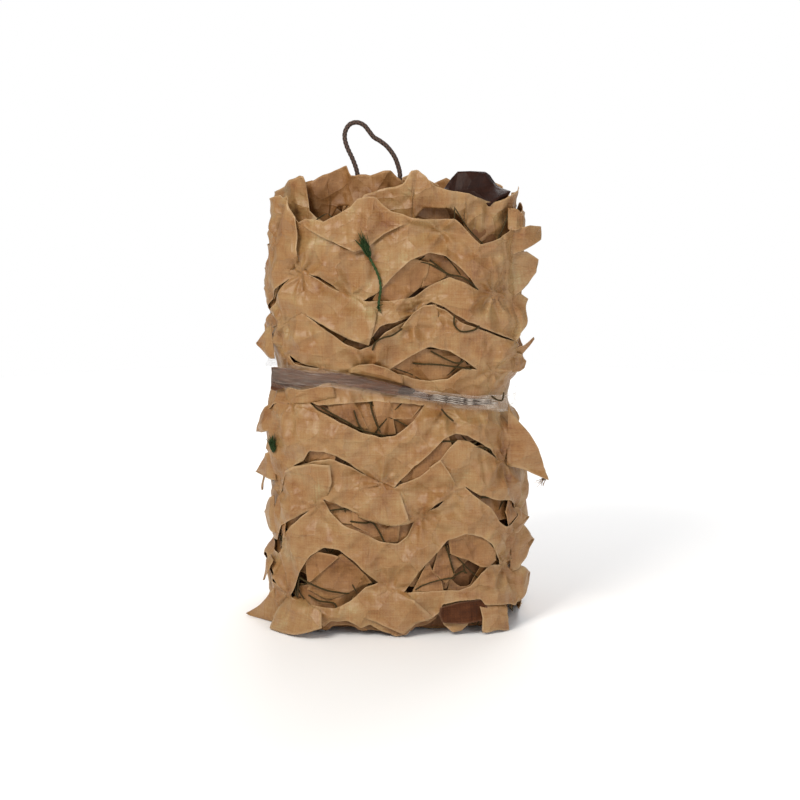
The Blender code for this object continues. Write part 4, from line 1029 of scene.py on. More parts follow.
# %% Turns inside
def turns_inside(columns=200, rows=110, ends=9, top=0.371, foot=0.004, inset=0.0125):
    """The bundle inside: the section set in, with swells and deep creases, closed over at both ends by rings
    that shrink to the middle."""
    girth = even_girths(columns)
    side = np.linspace(0, 1, rows)
    over = np.linspace(0, 1, ends, endpoint=False)
    heights = np.concatenate([np.full(ends, top), top + (foot - top) * side, np.full(ends, foot)])[:, None]
    closing = HALF_DEPTH + (inset + 0.002 - HALF_DEPTH) * over
    shrink = np.concatenate([closing, np.full(rows, inset), closing[::-1]])[:, None]
    heights, insets, girths = np.broadcast_arrays(heights, shrink, girth[None, :])
    flat = np.clip((insets - inset) / 0.01, 0, 1)
    outs = crumple(girths, heights, 0.10, 303)
    outs = np.minimum(outs, beneath_outer(girths, heights, inset) - UNDER) - drawn_in(girths, heights)
    lumps = 0.006 * smooth_noise(insets * 3 + 0.1, girths * (1 - insets / HALF_DEPTH), 0.017, 304) * flat
    heights = np.maximum(heights + lumps * (insets < HALF_DEPTH - 0.002), 0.002)
    points = on_roll(girths, heights, outs * (1 - flat), insets)
    faces = grid_faces(numbered(heights), closed=True)
    flat_map = corner_map(girths, heights + insets, faces, GIRTH)
    return mesh_piece("turns_inside", points, faces, DEEP_SHADE_PAINTED_TAN, flat_map, weld=True)


inside_turns = turns_inside()

# %% [markdown]
# ## The top end
# Seen from above the roll is a spiral of cloth edges. Three turns near the rim, the collars, stand up higher
# than it and ruffle. Inside them the rest of the net goes round and round in tight crumpled turns. At the top
# left one turn opens into a pocket with a dark hollow behind it.

# %% Collars
COLLAR = [
    (-215, 396), (-175, 400), (-150, 402), (-127, 408), (-115, 414), (-98, 419), (-93, 418), (-91, 409),
    (-90, 394), (-89, 388), (-82, 382), (-70, 376), (-50, 378), (-38, 392), (-30, 402), (-14, 407),
    (4, 411), (10, 413), (17, 424), (24, 425), (33, 419), (35, 416), (45, 410), (51, 408), (60, 406),
    (74, 404), (87, 399), (100, 395), (112, 398), (124, 403), (130, 407), (136, 408), (141, 404),
    (165, 400), (205, 392), (260, 406), (305, 394), (350, 412), (395, 398), (440, 410), (485, 396),
]
INNER_COLLAR = [
    (-205, 404), (-150, 398), (-118, 406), (-98, 414), (-90, 419), (-81, 422), (-71, 425), (-64, 427),
    (-59, 421), (-55, 418.5), (-47, 418.5), (-35, 419.5), (-29, 418), (-22, 420.5), (-12, 423), (-3, 423),
    (4, 417), (14, 412), (30, 408), (58, 394), (84, 384), (130, 382), (168, 384), (192, 402), (215, 394),
    (250, 412), (300, 396), (345, 410), (395, 400), (440, 414), (480, 400),
]
MIDDLE_COLLAR = [
    (-205, 398), (-160, 388), (-130, 382), (-100, 372), (-40, 370), (6, 372), (14, 394), (32, 397),
    (50, 394), (60, 388), (70, 371), (110, 372), (140, 386), (170, 396), (200, 388), (235, 404), (270, 392),
    (310, 408), (350, 394), (390, 404), (430, 396), (470, 406),
]
POCKET_GIRTH = -0.068
POCKET_WIDTH = 0.018
CORNER_GIRTH = 0.135
Collar = namedtuple("Collar", "name table inset shift corner seed material gap")
COLLARS = [  # the gap is where the cloth is slit: its ends round the roll and the height of its lip
    Collar("outer_collar_cloth", COLLAR, 0.014, 0.002, 0.007, 11, TAN, (18, 72, 391)),
    Collar("middle_collar_cloth", MIDDLE_COLLAR, 0.023, 0.012, 0.0, 15, SHADE_PAINTED_TAN, (-80, -60, 360)),
    Collar("inner_collar_cloth", INNER_COLLAR, 0.032, 0.007, 0.0, 12, SHADE_PAINTED_TAN, (-86, -44, 391)),
]
GAP_SLOPES = (0.012, 0.014)  # how far a gap's lip climbs at its left and right ends
GAP_DROP = 0.014  # of the lip at those ends
RUFFLES = 13
COLLAR_FOLDS = [  # left, height, right, height, width, size
    (24, 426, 22, 406, 3, -2.6), (22, 406, 4, 390, 3, -2.6), (84, 384, 80, 358, 3, -2.4),
    (-104, 410, -98, 380, 4, 1.6), (60, 404, 56, 392, 3, 1.2), (36, 418, 44, 396, 3, 1.2),
    (102, 392, 98, 368, 4, 1.6), (124, 404, 116, 380, 3, -1.6),
]


def collar_cloth(data, columns=420, rows=29, foot=0.325):
    """A standing turn: inset = base + shift at the pocket + ruffles that grow towards the free edge as v^1.3,
    with creases that run up and down. Where it's slit it starts at the slit's lip."""
    girth = even_girths(columns)
    v = np.linspace(0, 1, rows)[:, None] ** 0.8
    edge = round_roll(data.table, girth) + 0.0006 * smooth_noise(girth, 0.1, 0.007, data.seed)
    left, right, lip = np.array(data.gap) * MM
    inside = np.interp(girth, [left, left + GAP_SLOPES[0], right - GAP_SLOPES[1], right], [0, 1, 1, 0])
    open_foot = np.minimum(lip - GAP_DROP * (1 - inside), edge - 0.004)
    foot = np.where(inside > 0, open_foot, foot)
    heights = foot + (edge - foot) * v[::-1]
    lift = v[::-1] ** 1.3
    girths = np.broadcast_to(girth, heights.shape)
    ruffle = 0.0016 * np.cos(2 * math.pi * RUFFLES * girth / GIRTH + data.seed)
    ruffle = ruffle + 0.0026 * smooth_noise(girth, 0.2, 0.021, data.seed + 3)
    ruffle = ruffle + 0.0012 * smooth_noise(girth, 0.2, 0.009, data.seed + 4)
    insets = data.inset + data.shift * near_girth(girth, POCKET_GIRTH, POCKET_WIDTH) - ruffle * lift
    insets = insets - data.corner * near_girth(girth, CORNER_GIRTH, 0.022) * lift
    outs = crumple(girths, heights, 0.12, data.seed + 30) + pleats(girths, heights, 0.0012, data.seed + 60)
    outs = outs + hand_folds(girths, heights, COLLAR_FOLDS)
    points = on_roll(girths, heights, outs, insets)
    faces = grid_faces(numbered(heights), closed=True)
    around = 1 - 8.8 * data.inset  # a turn further in is shorter
    flat_map = corner_map(around * girths, heights, faces, around * GIRTH)
    edge_mark = np.exp(-(edge - heights) / 0.001)
    piece = mesh_piece(data.name, points, faces, data.material, flat_map, edge_mark, CLOTH)
    return piece


collars = [collar_cloth(data) for data in COLLARS]
print("collars:", [piece.name for piece in collars])


# %% Spiral turns
def spiral_turns(
    name, foot, low, high, seed, turns=5.3, per_turn=200, rows=8, first_inset=0.040, pitch=0.0085, hollow=0.0
):
    """The wound turns seen at an end: a strip whose inset grows by the pitch with each turn round, its free
    edge ruffled at random between two heights. The first turns may be hollowed at the pocket."""
    count = int(turns * per_turn)
    wound = np.linspace(0, turns, count)
    girth = (wound % 1) * GIRTH - GIRTH / 2
    edge = low + (high - low) * (0.5 + 0.5 * smooth_noise(wound * GIRTH * 0.37, wound * 0.05, 0.024, seed))
    edge = edge + 0.002 * smooth_noise(wound * GIRTH * 0.61, 0.3 + wound * 0.01, 0.009, seed + 1)
    edge = edge - hollow * near_girth(girth, POCKET_GIRTH - 0.004, 0.018) * np.clip(2.8 - wound, 0, 1)
    edge = np.maximum(edge, 0.001)
    v = np.linspace(0, 1, rows)[:, None]
    heights = foot + (edge - foot) * (1 - v)
    lift = (1 - v) ** 1.2
    shrink = first_inset + pitch * wound
    ruffle = 0.0042 * smooth_noise(girth, wound * 0.08, 0.019, seed + 2)
    ruffle = ruffle + 0.0020 * smooth_noise(girth, wound * 0.09, 0.008, seed + 3)
    insets = shrink - ruffle * lift
    girths = np.broadcast_to(girth, heights.shape)
    outs = crumple(girths, heights + wound * 0.11, 0.07, seed + 9)
    points = on_roll(girths, heights, outs, insets)
    faces = grid_faces(numbered(heights))
    along = np.broadcast_to(distances_along(on_roll(girth, foot, 0.0, shrink)), heights.shape)
    flat_map = plain_map(along, heights, faces)
    edge_mark = np.exp(-np.abs(edge - heights) / 0.001)
    piece = mesh_piece(name, points, faces, SHADE_PAINTED_TAN, flat_map, edge_mark, 0.6 * MM, 0.0)
    return piece


top_spiral = spiral_turns(
    "top_spiral_cloth", foot=0.335, low=0.376, high=0.404, seed=51, rows=9, hollow=0.034
)
foot_spiral = spiral_turns(
    "foot_spiral_cloth", foot=0.040, low=0.001, high=0.004, seed=52, first_inset=0.010, pitch=0.0145
)

# %% [markdown]
# ## Cords
# Two cords show. The bight of braided edge rope stands up out of the top: it's stiff enough to hold its bend,
# and both its ends go down between two turns. The green tie is thin twisted twine that lies on the cloth from
# its knot up to its frayed end.


# %% Cord helpers
def smooth_line(points, count):
    """Evenly spaced points along a Catmull-Rom curve through a few chosen ones."""
    chosen = np.array([points[0], *points, points[-1]], float)
    before, start, end, after = (chosen[i : len(chosen) - 3 + i, None, :] for i in range(4))
    t = np.linspace(0, 1, 24, endpoint=False)[None, :, None]
    bend, twist = 2 * before - 5 * start + 4 * end - after, 3 * start - before - 3 * end + after
    fine = 0.5 * (2 * start + (end - before) * t + bend * t**2 + twist * t**3)
    fine = np.concatenate([fine.reshape(-1, chosen.shape[1]), chosen[-1:]])
    along = distances_along(fine)
    wanted = np.linspace(0, along[-1], count)
    return np.stack([np.interp(wanted, along, fine[:, axis]) for axis in range(chosen.shape[1])], axis=1)


def length_of(points):
    """The length of a line of points."""
    return float(np.linalg.norm(np.diff(points, axis=0), axis=1).sum())


def frames_along(path):
    """Two directions across a path at each of its points, turned as little as can be from one to the next."""
    ahead = np.gradient(path, axis=0)
    ahead /= np.linalg.norm(ahead, axis=1, keepdims=True)
    side = np.zeros_like(path)
    last = np.cross(ahead[0], [0.0, 0.0, 1.0] if abs(ahead[0, 2]) < 0.9 else [1.0, 0.0, 0.0])
    for index, direction in enumerate(ahead):
        last = last - direction * (last @ direction)
        last = last / np.linalg.norm(last)
        side[index] = last
    return side, np.cross(ahead, side)


def tube_points(path, radius):
    """Rings round a path: radius may be one number, or a number for each point and angle."""
    side, up = frames_along(path)
    turns = radius.shape[1] if np.ndim(radius) == 2 else 8
    angle = np.arange(turns) * 2 * math.pi / turns
    radius = np.asarray(radius, float).reshape(len(np.atleast_1d(radius)), -1)
    radius = np.broadcast_to(radius, (len(path), turns))
    ring = np.cos(angle)[None, :, None] * side[:, None] + np.sin(angle)[None, :, None] * up[:, None]
    return path[:, None] + ring * radius[..., None]


def tube_mesh(name, path, radius, material, edge=None):
    """A tube with a closed point at each end and a map that runs along and round it, in metres."""
    rings = tube_points(path, radius)
    tips = [np.repeat(path[end][None, None], rings.shape[1], axis=1) for end in (0, -1)]
    points = np.concatenate([tips[0], rings, tips[1]])
    index = numbered(points[..., 0])
    faces = grid_faces(index[::-1], closed=True)
    along = distances_along(points[:, 0])
    around = np.arange(points.shape[1]) / points.shape[1]
    u, v = np.broadcast_to(around, index.shape), np.broadcast_to(along[:, None], index.shape)
    flat_map = corner_map(0.01 * (u - 0.5), v, faces, 0.01)
    if edge is not None:
        edge = np.concatenate([edge[:1], edge, edge[-1:]])
    return mesh_piece(name, points, faces, material, flat_map, edge, weld=True)


# %% Rope bight
# Polyester rope, plaited from eight dyed strands: a matt, lumpy surface of crossing diamonds.
ROPE_ROUTE = np.array([
    (-30, -50, 378), (-31.5, -50, 404), (-33, -49, 420), (-36.7, -48, 431.5), (-42, -47, 443),
    (-44.3, -45, 451.5), (-43.3, -43.5, 458.5), (-39.3, -42.5, 463.7), (-33, -42, 465.2),
    (-26.7, -42, 462.5), (-22.1, -42.5, 457), (-18, -43, 452), (-12.2, -44, 448.5), (-5.9, -45, 443.5),
    (0.5, -46.5, 435), (4.1, -48, 426), (5.7, -50, 418), (4.3, -51, 410), (1.5, -51, 398), (1, -51, 380),
]) * MM
ROPE_RADIUS = 2.1 * MM
ROPE_LAY = 7.5 * MM  # length of one plait
STRANDS = 4  # that go round each way


def rope_material():
    """Braided polyester: fine filaments along each strand, with painted shade in the grooves where strands
    cross under.
    """
    tree, shader, material = new_material("braided_polyester_rope")
    flat = add_node(tree, "ShaderNodeUVMap", uv_map="flat_cloth").outputs["UV"]
    low = add_node(tree, "ShaderNodeAttribute", attribute_name="cut_edge").outputs["Fac"]
    # painted shade: the colour darkens towards the grooves between the strands
    colour = ramp_between(tree, low, ["#543d30", "#402c21", "#1e130d"])
    tree.links.new(colour, shader.inputs["Base Color"])
    stretched = add_node(tree, "ShaderNodeMapping", {"Vector": flat, "Scale": (30.0, 900.0, 1.0)})
    filaments = add_node(tree, "ShaderNodeTexNoise", {"Vector": stretched.outputs["Vector"], "Scale": 1.0})
    bump = add_node(tree, "ShaderNodeBump", {"Height": filaments.outputs["Fac"], "Distance": 0.15 * MM})
    tree.links.new(bump.outputs["Normal"], shader.inputs["Normal"])
    shader.inputs["Roughness"].default_value = 0.7
    return material


rope_path = smooth_line(ROPE_ROUTE + MIDDLE, 420)
along = np.linspace(0, length_of(rope_path), len(rope_path))[:, None]
angle = np.arange(24)[None, :] * 2 * math.pi / 24
left_lay = np.cos(STRANDS * angle + 2 * math.pi * along / ROPE_LAY * STRANDS / 2)
right_lay = np.cos(STRANDS * angle - 2 * math.pi * along / ROPE_LAY * STRANDS / 2)
plait = np.maximum(left_lay, right_lay)
# the last argument marks the grooves between the strands, where the rope's colour is painted darker for shade
rope = tube_mesh("edge_rope", rope_path, ROPE_RADIUS * (1 + 0.10 * (plait - 0.6)), rope_material(), 1 - plait)
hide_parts("edge_rope_loop")
print("edge rope: %.0f mm shows" % (length_of(rope_path) / MM))

# %% [markdown]
# ## The surface that things lie on
# Pieces that lie on the outer turn need to know where it is. Its bands are read onto a regular map of girth
# and height, and a second map is widened and smoothed, as a taut cloth laid over it would be.


# %% Surface map
MAP_STEP = 0.001
map_heights = np.arange(0, 0.432, MAP_STEP)


def outer_map():
    """How far out the roll stands at each height and column: the outermost band there, or else the second
    turn."""
    level = np.repeat(map_heights[:, None], len(outer_girth), axis=1)
    found = np.full(level.shape, 0.002 - SECOND_INSET)
    for heights, outs, _ in outer_bands:
        within = (level <= heights[0]) & (level >= heights[-1])
        found = np.where(within, np.maximum(read_band(heights, outs, level), found), found)
    return found


def widened(values, reach):
    """Each value becomes the largest within reach steps, then the mean of the same stretch."""
    for merged in (np.max, np.mean):
        for axis in (0, 1):
            shifted = [np.roll(values, step, axis=axis) for step in range(-reach, reach + 1)]
            values = merged(np.stack(shifted), axis=0)
    return values


surface = outer_map()
draped_surface = widened(surface, 3)


def read_map(values, girth, height):
    """The map's value at any place, blended between its four nearest points."""
    wrapped = short_way(girth)
    column = np.interp(wrapped, outer_girth, np.arange(len(outer_girth)))
    row = np.clip(np.asarray(height) / MAP_STEP, 0, len(values) - 1.001)
    i, j = row.astype(int), np.minimum(column.astype(int), values.shape[1] - 2)
    s, t = row - i, column - j
    near = values[i, j] * (1 - t) + values[i, j + 1] * t
    far = values[i + 1, j] * (1 - t) + values[i + 1, j + 1] * t
    return near * (1 - s) + far * s


# %% [markdown]
# ## Strings and fibres
# Thin things come in dozens: the strings of the net, the frayed ends of ties and the torn fringe of a leaf.
# One function makes any number of them at once, each a round tube along a bent line from a start through a
# middle to an end.


# %% Tubes and fibres
def tubes(name, paths, radii, material, sides=5):
    """Round tubes along many paths at once. Each path is a row of points and has a radius at each point. Two
    directions square to the path span its rings, which shrink to a point at both ends."""
    ahead = np.gradient(paths, axis=1)
    ahead = ahead / np.maximum(np.linalg.norm(ahead, axis=2, keepdims=True), 1e-9)
    chord = paths[:, -1] - paths[:, 0]
    upright = np.abs(chord[:, 2:]) > 0.8 * np.linalg.norm(chord, axis=1, keepdims=True)
    helper = np.where(upright, [1.0, 0.0, 0.0], [0.0, 0.0, 1.0])[:, None, :]
    side = np.cross(ahead, helper)
    side = side / np.maximum(np.linalg.norm(side, axis=2, keepdims=True), 1e-9)
    up = np.cross(ahead, side)
    turn = np.arange(sides) * 2 * math.pi / sides
    ring = np.cos(turn)[:, None] * side[:, :, None, :] + np.sin(turn)[:, None] * up[:, :, None, :]
    radii = np.broadcast_to(radii, paths.shape[:2]).copy()
    radii[:, [0, -1]] = 0
    points = paths[:, :, None, :] + ring * radii[:, :, None, None]
    index = numbered(points[..., 0])
    left, right = index, np.roll(index, -1, axis=2)
    faces = np.stack([left[:, :-1], right[:, :-1], right[:, 1:], left[:, 1:]], axis=-1).reshape(-1, 4)
    steps = np.linalg.norm(np.diff(paths, axis=1), axis=2)
    along = np.concatenate([np.zeros((len(paths), 1)), np.cumsum(steps, axis=1)], axis=1)
    v = np.broadcast_to(along[:, :, None], points.shape[:3])
    u = np.broadcast_to(turn * 0.001, points.shape[:3])
    return mesh_piece(name, points, faces, material, plain_map(u, v, faces), weld=True)


def parabolas(starts, middles, ends, steps=9):
    """Lines B(t) = (1-t)^2 start + 2t(1-t) middle + t^2 end, one for each start."""
    starts, middles, ends = (np.asarray(group, float)[:, None, :] for group in (starts, middles, ends))
    t = np.linspace(0, 1, steps)[None, :, None]
    return (1 - t) ** 2 * starts + 2 * t * (1 - t) * middles + t**2 * ends


def string_material(name, colours, roughness):
    """Twisted yarn: two plies that wind round each other, uneven in colour along their length."""
    tree, shader, material = new_material(name)
    flat = add_node(tree, "ShaderNodeUVMap", uv_map="flat_cloth").outputs["UV"]
    dye = add_node(tree, "ShaderNodeTexNoise", {"Vector": flat, "Scale": 90.0})
    tree.links.new(ramp_between(tree, dye.outputs["Fac"], colours), shader.inputs["Base Color"])
    plies = add_node(tree, "ShaderNodeTexWave", {"Vector": flat, "Scale": 2 * math.pi / (20 * 1.6 * MM)},
                     wave_type="BANDS", bands_direction="DIAGONAL")
    bump = add_node(tree, "ShaderNodeBump", {"Height": plies.outputs["Fac"], "Distance": 0.2 * MM})
    tree.links.new(bump.outputs["Normal"], shader.inputs["Normal"])
    shader.inputs["Roughness"].default_value = roughness
    shader.inputs["Specular IOR Level"].default_value = 0.2
    return material


NET_STRING = string_material("olive_polyethylene_net_string", ["#2a200c", "#3d3014", "#524122"], 0.55)
GREEN = string_material("green_polypropylene_twine", ["#1a2d14", "#2a411e", "#40562b"], 0.5)

# %% Green tie
TIE_ROUTE = np.array([
    (-13.5, 306.0), (-12.5, 313.0), (-11.5, 321.0), (-12.5, 329.0), (-15.5, 337.0), (-19.0, 344.0),
    (-21.5, 349.0),
]) * MM
TWINE_RADIUS = 1.25 * MM
TWINE_LAY = 4.5 * MM

flat_route = smooth_line(TIE_ROUTE, 150)
tie_out = read_map(draped_surface, flat_route[:, 0], flat_route[:, 1])
tie_out = np.convolve(np.pad(tie_out, 8, mode="edge"), np.full(17, 1 / 17), mode="valid") + TWINE_RADIUS
tie_path = on_roll(flat_route[:, 0], flat_route[:, 1], tie_out)
along = np.linspace(0, length_of(tie_path), len(tie_path))[:, None]
angle = np.arange(16)[None, :] * 2 * math.pi / 16
twist = np.cos(2 * angle - 2 * math.pi * along / TWINE_LAY)
tie = tube_mesh("green_twine_tie", tie_path, TWINE_RADIUS * (0.88 + 0.16 * twist), GREEN)
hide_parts("green_tie")


def frayed(name, root, heading, length, spread, count, radius, material, seed):
    """A burst of fibres from one point: each heads along the heading plus a random sideways part, then
    bends under its own random curl."""
    draw = np.random.default_rng(seed)
    heading = np.asarray(heading, float) / np.linalg.norm(heading)
    aside = draw.normal(0, spread, (count, 3))
    reach = length * draw.uniform(0.55, 1.0, (count, 1))
    ends = root + (heading + aside) * reach
    middles = root + (heading + 0.4 * aside) * reach * 0.5 + draw.normal(0, 0.12, (count, 3)) * length
    starts = root + draw.normal(0, 0.3, (count, 3)) * radius
    radii = radius * draw.uniform(0.6, 1.2, (count, 1)) * np.linspace(1, 0.4, 9)
    return tubes(name, parabolas(starts, middles, ends), radii, material)


tie_end = frayed("green_tie_frayed_end", tie_path[-5], (-0.36, -0.28, 0.93), length=0.025, spread=0.13,
                 count=90, radius=0.5 * MM, material=GREEN, seed=5)
knot_end = frayed("green_tie_knot", tie_path[0], (0.1, -0.5, -0.6), length=0.006, spread=0.5,
                  count=12, radius=0.6 * MM, material=GREEN, seed=6)
print("green tie: %.0f mm shows" % (length_of(tie_path) / MM))

# %% [markdown]
# ## The net
# The net itself is knotted olive string in diamonds. It lies between the outer turn and the next one, so it
# only shows where a slit is open, and a few slack loops of it hang out through the slits.


# %% Net strings
DIAMOND = GIRTH / 12
NET_OUT = -0.0030
STRING_RADIUS = 0.65 * MM


def under_outer(girth, height, out):
    """Points at an out, but always a little under the outer turn's face."""
    room = np.minimum(out, outer_shape(girth, height) - 0.0018)
    return on_roll(girth, height, room - drawn_in(girth, height))


def net_strings(seed=77):
    """Lines between neighbouring knots of a diamond net round the roll, as girths and heights: knot (i, j)
    stands at girth (i + j/2) D and height j D/2, moved a little at random, and each string sags."""
    draw = np.random.default_rng(seed)
    rows, around = 13, 12
    j, i = np.meshgrid(np.arange(rows), np.arange(around), indexing="ij")
    knots = np.stack([(i + j / 2) * DIAMOND, 0.012 + j * DIAMOND / 2], axis=-1)
    knots = knots + draw.normal(0, 1, knots.shape) * (0.006, 0.004)
    lines = []
    for across, half_turn in ((0, 0.5), (-1, -0.5)):
        low, high = knots[:-1], np.roll(knots[1:], -across, axis=1)
        wanted = low[..., 0] + half_turn * DIAMOND
        high[..., 0] += GIRTH * np.round((wanted - high[..., 0]) / GIRTH)
        middle = (low + high) / 2 + draw.normal(0, 0.006, low.shape)
        lines.append(parabolas(low.reshape(-1, 2), middle.reshape(-1, 2), high.reshape(-1, 2), 14))
    return np.concatenate(lines)


net_lines = net_strings()
net_paths = under_outer(net_lines[..., 0], net_lines[..., 1], NET_OUT)
net = tubes("net_strings", net_paths, STRING_RADIUS, NET_STRING)
print("net strings:", len(net_lines))

# %% [markdown]
# ## Loose leaves
# Beside the lips of the slits there are leaf tips that have worked free and stand off the roll. They make its
# ragged outline. Each grows from a short root line on the outer turn to a tip, and its width falls from the
# root to the tip.

# %% Loose leaves
Leaf = namedtuple("Leaf", "left left_height right right_height tip tip_height tip_out power bulge")
SIDE_LEAVES = [
    Leaf(-134, 282, -124, 252, -154, 262, 7, 0.9, 0.2),
    Leaf(-132, 210, -124, 186, -158, 178, 9, 0.9, 0.2), Leaf(-130, 164, -124, 138, -156, 140, 9, 0.9, 0.2),
    Leaf(-130, 122, -124, 88, -154, 102, 2, 0.8, 0.2), Leaf(-132, 34, -128, 3, -158, 2, 16, 0.9, 0.2),
    Leaf(122, 22, 126, 54, 150, 44, 8, 0.8, 0.4), Leaf(122, 88, 128, 112, 150, 98, 6, 0.8, 0.2),
    Leaf(122, 52, 127, 94, 152, 76, 14, 0.8, 0.4),
]
LEAF_ROWS, LEAF_COLUMNS = 18, 13
TUCK = 0.0016  # how far the root lies under the cloth above it


def leaf_grid(leaf, seed):
    """Points of one leaf. Its middle line runs straight from the root to the tip in girth and height. Its
    half width is that of the root times (1-v)^power (1 + bulge sin(pi v)). It stands out along v^1.6."""
    table = np.array(leaf[:6]).reshape(3, 2) * MM
    left, right, tip = table
    root, side = (left + right) / 2, (right - left) / 2
    v = np.linspace(0, 1, LEAF_ROWS)[:, None]
    u = np.linspace(-1, 1, LEAF_COLUMNS)[None, :]
    wide = np.maximum(1 - v, 0.0) ** leaf.power * (1 + leaf.bulge * np.sin(math.pi * v)) + 0.02
    sway = 0.12 * np.sin(math.pi * v) * math.sin(seed * 1.7)
    girth = root[0] + (tip[0] - root[0]) * v + side[0] * (u * wide + sway)
    height = root[1] + (tip[1] - root[1]) * v + side[1] * (u * wide + sway)
    span = np.hypot(*side)
    fold = 0.10 * span * (1 - np.abs(u)) * np.sin(math.pi * v) - 0.06 * span * np.cos(5 * u + seed) * v
    creases = crumple(girth, height, 0.07, 500 + seed)
    base = read_map(draped_surface, girth, height)
    out = base * (1 - 0.5 * v) + leaf.tip_out * MM * v**1.6 + 0.0006 + fold + creases * v**0.5
    tucked = np.clip(1 - v / 0.22, 0, 1)
    out = np.maximum(out, read_map(surface, girth, height) + 0.0003)
    return girth, height, out * (1 - tucked) + (read_map(surface, girth, height) - TUCK) * tucked


def patch_faces(grids):
    """The faces of many grids of points that lie one after another."""
    return np.concatenate([grid_faces(grid) for grid in numbered(grids)])


def leaf_piece(name, leaves, seed):
    """Many leaves in one mesh. A leaf that was laid out the other way round has its faces turned outwards."""
    grids = [leaf_grid(leaf, seed + number) for number, leaf in enumerate(leaves)]
    girths, heights, outs = (np.stack([grid[part] for grid in grids]) for part in range(3))
    heights = np.maximum(heights, 0.0008)
    points = on_roll(girths, heights, outs)
    faces = patch_faces(girths)
    corner = plain_map(girths, heights, faces)
    normal = np.cross(corner[:, 1] - corner[:, 0], corner[:, 2] - corner[:, 1])
    faces[normal < 0] = faces[normal < 0][:, ::-1]
    v = np.linspace(0, 1, LEAF_ROWS)[None, :, None]
    u = np.linspace(-1, 1, LEAF_COLUMNS)[None, None, :]
    edge = np.broadcast_to(np.maximum((np.abs(u) > 0.99) * (v > 0.1), v > 0.99), girths.shape).astype(float)
    piece = mesh_piece(name, points, faces, TAN, plain_map(girths, heights, faces), edge, 0.5 * MM, 0.0)
    return piece


side_leaves = leaf_piece("loose_side_leaves", SIDE_LEAVES, 1)


def tongues(seed):
    """Leaves that hang out of the slits round the sides and back: each root is tucked under a top lip, and
    its tip lies over the cloth below."""
    draw = np.random.default_rng(seed)
    leaves = []
    for slit in [slit for row in OUTER_ROWS for slit in row]:
        top, low = np.array(slit.top, float), np.array(slit.low, float)
        middle = (top[0, 0] + top[-1, 0]) / 2
        turned = short_way(middle * MM)
        gap = np.interp(middle, top[:, 0], top[:, 1]) - np.interp(middle, low[:, 0], low[:, 1])
        at_film = slit.row in (FILM_ROW, FILM_ROW + 1)
        if abs(turned) < 0.14 or gap < 6 or at_film or draw.random() < 0.35:
            continue
        place = middle + draw.uniform(-0.2, 0.2) * (top[-1, 0] - top[0, 0])
        level = np.interp(place, top[:, 0], top[:, 1]) + 4
        half, length = draw.uniform(10, 15), gap + draw.uniform(12, 24)
        lean = draw.uniform(-14, 14)
        leaves.append(Leaf(place - half, level, place + half, level, place + lean, max(level - length, 4),
                           draw.uniform(2, 7), draw.uniform(0.6, 1.0), draw.uniform(0.2, 0.6)))
    return leaves


back_tongues = tongues(88)
back_leaves = leaf_piece("loose_back_leaves", back_tongues, 40)
print("loose leaves:", len(SIDE_LEAVES) + len(back_tongues))

# %% [markdown]
# ## Petals
# Where the slits of a row lie close together the cloth between them is a separate petal, and its free edges
# cross the cloth beside it. Each petal is a patch between four bent lines. The sides it grows from dip under
# the cloth beside them, and its other sides stand up a little, so that they throw a thin shadow.

